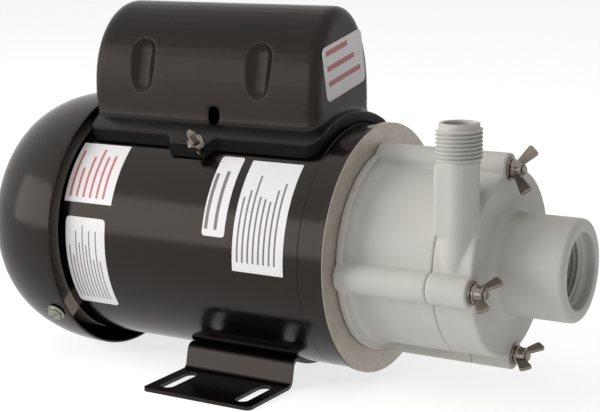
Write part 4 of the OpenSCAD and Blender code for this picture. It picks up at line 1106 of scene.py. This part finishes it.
@dataclass
class Clamps:
    """The four studs, washers and wing nuts that hold the pump housing."""

    circle: float = 46.0
    stud_r: float = 2.4
    stud_low: float = 8.0
    stud_high: float = 75.5
    pitch: float = 0.95
    thread_low: float = 60.0
    washer_z: float = 68.0
    washer_r: float = 5.6
    washer_t: float = 1.0
    nut_z: float = 69.0
    hub_r: float = 4.6
    hub_h: float = 5.2
    span: float = 22.2
    wing_t: float = 1.8
    wing_root: float = 1.7
    wing_half: float = 3.1
    wing_corner: float = 1.5
    rise: float = 40.0

    def at(self, corner: Corner, z: float) -> Matrix:
        """Returns the frame of a stud, unturned, at a place along the shaft."""
        angle = math.radians(corner.value)
        spot = (self.circle * MM * math.cos(angle), self.circle * MM * math.sin(angle), z * MM)
        return SHAFT @ Matrix.Translation(spot)

    def wing_turn(self, corner: Corner) -> float:
        """Returns how far the wing nut of a corner is turned at rest, in degrees."""
        return {Corner.RIGHT: 140.0, Corner.TOP: 65.0, Corner.LEFT: 29.0, Corner.BOTTOM: 18.0}[corner]

    def build_stud(self) -> bpy.types.Object:
        """Turns a stud along z, threaded at its front end."""
        core, top = self.stud_r - 0.4, self.stud_high - self.stud_low
        low = self.thread_low - self.stud_low
        stud = lathe(
            "clamp_stud",
            [
                (0, 0), (self.stud_r, 0), (self.stud_r, low), (core, low + 0.5), (core, top - 0.6),
                (core - 0.5, top), (0, top),
            ],
            28,
        )
        turns = int((top - low - 1.2) / self.pitch)
        thread = coil("stud_thread", core - 0.05, self.stud_r, self.pitch, turns, 28)
        place(thread, Matrix.Translation((0, 0, (low + 0.8) * MM)))
        weld(stud, [thread])
        shade(stud, 30)
        return stud

    def build_washer(self) -> bpy.types.Object:
        """Stamps a washer with one rolled edge."""
        bore, edge = self.stud_r + 0.06, 0.3
        washer = lathe(
            "wing_washer",
            [
                (bore, 0), (self.washer_r - 0.1, 0), (self.washer_r, 0.1),
                (self.washer_r, self.washer_t - edge),
                (self.washer_r - edge, self.washer_t), (bore + 0.2, self.washer_t),
                (bore, self.washer_t - 0.2), (bore, 0),
            ],
            64,
        )
        shade(washer, 30)
        return washer

    def build_wing(self, side: int) -> bpy.types.Object:
        """Shapes one wing: a flat paddle that widens from its root to a blunt end.

        Args:
            side: 1 or -1, the way that the wing points along x.

        Returns:
            The wing, in place on its nut.
        """
        root_x, root_z = self.hub_r - 2.0, self.hub_h / 2
        lean = math.radians(self.rise)
        end = self.wing_half
        reach = (self.span / 2 - root_x - end * (1 - math.cos(lean))) / math.cos(lean)
        nose = self.wing_corner
        low = ellipse((reach - nose, nose - end), (nose, nose), -80, 0, 5)
        high = ellipse((reach - nose, end - nose), (nose, nose), 0, 80, 5)
        paddle = [(0, -self.wing_root)] + low + high + [(0, self.wing_root)]
        wing = chain("wing", paddle)
        bpy.ops.mesh.edge_face_add()
        bpy.ops.mesh.extrude_region_move(TRANSFORM_OT_translate={"value": (0, self.wing_t * MM, 0)})
        close()
        modify(wing, "BEVEL", width=0.45 * MM, segments=3, limit_method="ANGLE", angle_limit=math.radians(60))
        tilt = Matrix.Rotation(-lean, 4, "Y")
        out = Matrix.Translation((root_x * MM, 0, root_z * MM))
        turn = Matrix.Rotation(0 if side > 0 else math.pi, 4, "Z")
        place(wing, turn @ out @ tilt @ Matrix.Translation((0, -self.wing_t / 2 * MM, 0)))
        return wing

    def build_nut(self) -> bpy.types.Object:
        """Casts a wing nut: a coned hub on a collar, and two wings that grow out of it."""
        top = self.hub_r - 0.8
        nut = lathe(
            "wing_nut",
            [
                (0, 0), (self.hub_r - 0.2, 0), (self.hub_r, 0.2), (self.hub_r, 1.2), (self.hub_r - 0.5, 1.6),
                (top, self.hub_h - 0.4), (top - 0.4, self.hub_h), (0, self.hub_h),
            ],
            64,
        )
        for side in (1, -1):
            combine(nut, self.build_wing(side), "UNION")
        combine(nut, drum("tapping", self.stud_r + 0.06, -1, self.hub_h + 12, 40), "DIFFERENCE")
        mould(nut, 0.17, 3, 0.5)
        return nut

    def dress(self) -> None:
        """Builds and settles a stud, a washer and a wing nut at each corner."""
        patterns = [self.build_stud(), self.build_washer(), self.build_nut()]
        for corner in Corner:
            where = corner.name.lower()
            stud = twin(patterns[0], f"clamp_stud_{where}")
            place(stud, self.at(corner, self.stud_low))
            settle(stud, "pump_frame", "nickel_hardware", ["clamp_studs"])
            washer = twin(patterns[1], f"stamped_washer_{where}")
            place(washer, self.at(corner, self.washer_z))
            settle(washer, f"washer_{where}", "nickel_hardware", [f"wing_washer_{where}"])
            nut = twin(patterns[2], f"cast_wing_nut_{where}")
            turn = Matrix.Rotation(math.radians(self.wing_turn(corner)), 4, "Z")
            place(nut, self.at(corner, self.nut_z) @ turn)
            settle(nut, f"nut_{where}", "nickel_hardware", [f"wing_nut_{where}"])
        discard(*patterns)


@dataclass
class ShellLabel:
    """One label wrapped on the shell."""

    name: str
    finish: RuledLabel
    corner: float = 0.0
    shell_r: float = 60.72
    thickness: float = 0.18
    strip_mm: float = 2.6

    def dress(self) -> None:
        """Wraps a strip round the shell, rounds its corners and settles it."""
        low, high = math.radians(180 - self.finish.high), math.radians(180 - self.finish.low)
        front, rear = self.finish.front * MM, (self.finish.front - self.finish.length) * MM
        strips = max(6, round(self.shell_r * (high - low) / self.strip_mm))
        label = chain(self.name, [(self.shell_r, front / MM), (self.shell_r, rear / MM)])
        bpy.ops.mesh.spin(steps=strips, angle=high - low, center=(0, 0, 0), axis=(0, 0, 1))
        close()
        if self.corner:
            ends = [v.co.copy() for v in label.data.vertices]
            far = max(math.atan2(c.y, c.x) for c in ends), min(math.atan2(c.y, c.x) for c in ends)
            select_vertices(label, lambda c: min(abs(math.atan2(c.y, c.x) - f) for f in far) < 1e-4)
            bpy.ops.mesh.bevel(offset=self.corner * MM, segments=4, affect="VERTICES")
            bpy.ops.object.mode_set(mode="OBJECT")
        place(label, SHAFT @ Matrix.Rotation(high, 4, "Z"))
        modify(label, "SOLIDIFY", thickness=self.thickness * MM, offset=1.0)
        shade(label, 20)
        settle(label, "pump_frame", "sticker", ["shell_stickers"], self.finish)


@dataclass
class CoverLabel:
    """The label on the cover's front end."""

    finish: FlatLabel
    corner: float = 3.4
    front: float = -22.65
    thickness: float = 0.2

    def dress(self) -> None:
        """Cuts the label from a plane, rounds its corners and settles it."""
        deselect()
        width, height = self.finish.size
        bpy.ops.mesh.primitive_plane_add(size=1)
        label = added("cover_end_label")
        label.scale = (width * MM, height * MM, 1)
        bpy.ops.object.transform_apply(location=True, rotation=True, scale=True)
        edit(label)
        bpy.ops.mesh.bevel(offset=self.corner * MM, segments=6, affect="VERTICES")
        bpy.ops.object.mode_set(mode="OBJECT")
        modify(label, "SOLIDIFY", thickness=self.thickness * MM, offset=1.0)
        middle = Matrix.Translation((self.finish.middle[0] * MM, self.finish.middle[1] * MM, self.front * MM))
        place(label, SHAFT @ middle @ Matrix.Rotation(math.radians(self.finish.slant), 4, "Z"))
        settle(label, "pump_frame", "sticker", ["cover_sticker"], self.finish)


def label_stock(
    name: str, ink: str, low: float, high: float, front: float, length: float, rows: int, seed: float
) -> RuledLabel:
    """Makes the finish of one label on the shell.

    Args:
        name: The material's name.
        ink: Colour of the rules.
        low: Lower edge, in degrees up from the near side.
        high: Upper edge, in degrees up from the near side.
        front: Front edge along the shaft in millimetres.
        length: Length along the shaft in millimetres.
        rows: Number of rules.
        seed: Number that the rules' lengths come from.

    Returns:
        The finish.
    """
    own = {"name": name, "ink": ink, "low": low, "high": high, "front": front, "length": length}
    return RuledLabel(**vars(LABEL_VINYL) | own, rows=rows, seed=seed)


@dataclass
class Labels:
    """The plain ruled labels on the shell and on the cover's end."""

    ink: str = "#6f6a69"
    red: str = "#b0686b"

    def dress(self) -> None:
        """Builds and settles all labels."""
        upper = label_stock("ruled_label_upper", self.red, 19, 50.5, -125, 30, 6, 3.0)
        lower = label_stock("ruled_label_lower", self.ink, -34, 12, -127.5, 25, 10, 11.0)
        plate = label_stock("ruled_label_plate", self.ink, -4, 49, -22, 28.5, 8, 23.0)
        narrow = label_stock("ruled_label_narrow", self.ink, 10.5, 50, -55.5, 13, 2, 31.0)
        ShellLabel("shell_label_upper", upper).dress()
        ShellLabel("shell_label_lower", lower, corner=2.2).dress()
        ShellLabel("shell_label_plate", plate).dress()
        ShellLabel("shell_label_narrow", narrow, corner=1.6).dress()
        own = {"name": "ruled_label_cover", "ink": self.red, "rows": 3, "seed": 41.0}
        end = FlatLabel(**vars(LABEL_VINYL) | own)
        CoverLabel(end).dress()


def dress_nodes() -> None:
    """Gives every CAD node that is still shown the finish of its slot."""
    slots = {part["node"]: part["material_slot"] for part in frame["record"]["subparts"]}
    for name, node in sorted(frame["nodes"].items()):
        if node.hide_render:
            continue
        node.data.materials.clear()
        node.data.materials.append(FINISHES[slots[name]].material())
        log.info("%s keeps its CAD shape in %s", name, slots[name])


@dataclass(frozen=True)
class SoftBox:
    """A soft box that faces the pump: its place and size in metres, and its power in watts."""

    name: str
    spot: tuple[float, float, float]
    size: tuple[float, float]
    power: float
    shows: bool = False
    target: tuple[float, float, float] = (0.0, -0.01, 0.08)

    def hang(self) -> None:
        """Hangs the box, either to show in glossy surfaces or to light matt ones."""
        bpy.ops.object.light_add(type="AREA", location=self.spot)
        lamp = bpy.context.object
        lamp.name = self.name
        lamp.data.shape = "RECTANGLE"
        lamp.data.size, lamp.data.size_y = self.size
        lamp.data.energy = self.power
        aim = Vector(self.target) - Vector(self.spot)
        lamp.rotation_euler = aim.to_track_quat("-Z", "Y").to_euler()
        lamp.visible_glossy = self.shows
        lamp.visible_diffuse = not self.shows


@dataclass
class Studio:
    """The pale floor, the soft lamps and the camera."""

    eye: tuple[float, float, float] = (-0.6417, -0.4079, 0.2383)
    look: tuple[float, float, float] = (0.8375, 0.5088, -0.1995)
    roll: float = -0.754
    lens: float = 90.39
    ambient: float = 0.34
    mirror_sky: float = 0.87
    paper: float = 0.89
    paper_seen: float = 0.4
    glow: float = 0.76
    mirror_glow: float = 0.74
    bounce: float = 0.26
    boxes: tuple[SoftBox, ...] = (
        SoftBox("long_box", (-1.15, 0.8, 0.37), (1.9, 0.74), 5.0, shows=True),
        SoftBox("side_fill", (-0.85, 1.2, 0.55), (1.2, 0.7), 23.0),
        SoftBox("top_fill", (-0.3, 0.2, 1.6), (1.2, 1.2), 8.0),
    )

    def camera(self) -> None:
        """Stands the camera where the photograph was taken from."""
        ahead = Vector(self.look).normalized()
        level = ahead.cross(Vector((0, 0, 1))).normalized()
        up = level.cross(ahead)
        tilt = math.radians(self.roll)
        right = level * math.cos(tilt) + up * math.sin(tilt)
        up = right.cross(ahead)
        turn = Matrix((right, up, -ahead)).transposed().to_4x4()
        bpy.ops.object.camera_add()
        camera = bpy.context.object
        camera.matrix_world = Matrix.Translation(self.eye) @ turn
        camera.data.sensor_fit = "HORIZONTAL"
        camera.data.sensor_width = 36
        camera.data.lens = self.lens
        camera.data.clip_start = 0.01
        bpy.context.scene.camera = camera

    def backdrop(
        self, tree: bpy.types.NodeTree, seen: float, mirrored: float, other: float
    ) -> bpy.types.NodeSocket:
        """Gives one level where the backdrop is seen, one in its mirror image and one for other light.

        Args:
            tree: The node tree of the floor or of the world.
            seen: The level for rays of the camera and of glass.
            mirrored: The level for rays of gloss.
            other: The level for all other rays.

        Returns:
            The socket of the level.
        """
        ray = add(tree, "ShaderNodeLightPath")
        direct = {0: ray.outputs["Is Camera Ray"], 1: ray.outputs["Is Transmission Ray"]}
        straight = add(tree, "ShaderNodeMath", direct, operation="MAXIMUM")
        gloss = {0: ray.outputs["Is Glossy Ray"], 1: 0.0, 2: 1.0, 3: other, 4: mirrored}
        light = add(tree, "ShaderNodeMapRange", gloss)
        levels = {0: straight.outputs[0], 1: 0.0, 2: 1.0, 3: light.outputs[0], 4: seen}
        return add(tree, "ShaderNodeMapRange", levels).outputs[0]

    def floor(self) -> None:
        """Lays the floor: pale paper that keeps the shadow."""
        deselect()
        bpy.ops.mesh.primitive_plane_add(size=14)
        floor = added("studio_floor")
        paper = bpy.data.materials.new("pale_studio_paper")
        paper.use_nodes = True
        tree = paper.node_tree
        tree.nodes.clear()
        grey = self.backdrop(tree, self.paper_seen, 0.0, self.paper)
        shade = add(tree, "ShaderNodeCombineColor", {0: grey, 1: grey, 2: grey})
        shader = add(
            tree, "ShaderNodeBsdfPrincipled",
            {
                "Base Color": shade.outputs[0], "Roughness": 0.9, "Specular IOR Level": 0.1,
                "Emission Color": (1, 1, 1, 1),
                "Emission Strength": self.backdrop(tree, self.glow, self.mirror_glow, self.bounce),
            },
        )
        add(tree, "ShaderNodeOutputMaterial", {"Surface": shader.outputs[0]})
        floor.data.materials.append(paper)

    def world(self) -> None:
        """Sets an even pale sky that is white where it is seen."""
        world = bpy.data.worlds.new("studio_sky")
        bpy.context.scene.world = world
        world.use_nodes = True
        tree = world.node_tree
        tree.nodes.clear()
        level = self.backdrop(tree, 1.0, self.mirror_sky, self.ambient)
        sky = add(tree, "ShaderNodeBackground", {"Color": (1, 1, 1, 1), "Strength": level})
        add(tree, "ShaderNodeOutputWorld", {"Surface": sky.outputs[0]})

    def dress(self) -> None:
        """Sets the camera, the floor, the sky and the lamps."""
        deselect()
        self.camera()
        self.floor()
        self.world()
        for box in self.boxes:
            box.hang()
        bpy.context.scene.view_settings.view_transform = "Standard"


def main() -> None:
    """Builds the studio and all sub-assemblies."""
    logging.basicConfig(level=logging.INFO, format="%(name)s: %(message)s")
    Studio().dress()
    Motor().dress()
    FanCover().dress()
    CapacitorCover().dress()
    Foot().dress()
    PumpHead().dress()
    Clamps().dress()
    Labels().dress()
    dress_nodes()
    deselect()


if __name__ == "__main__":
    main()
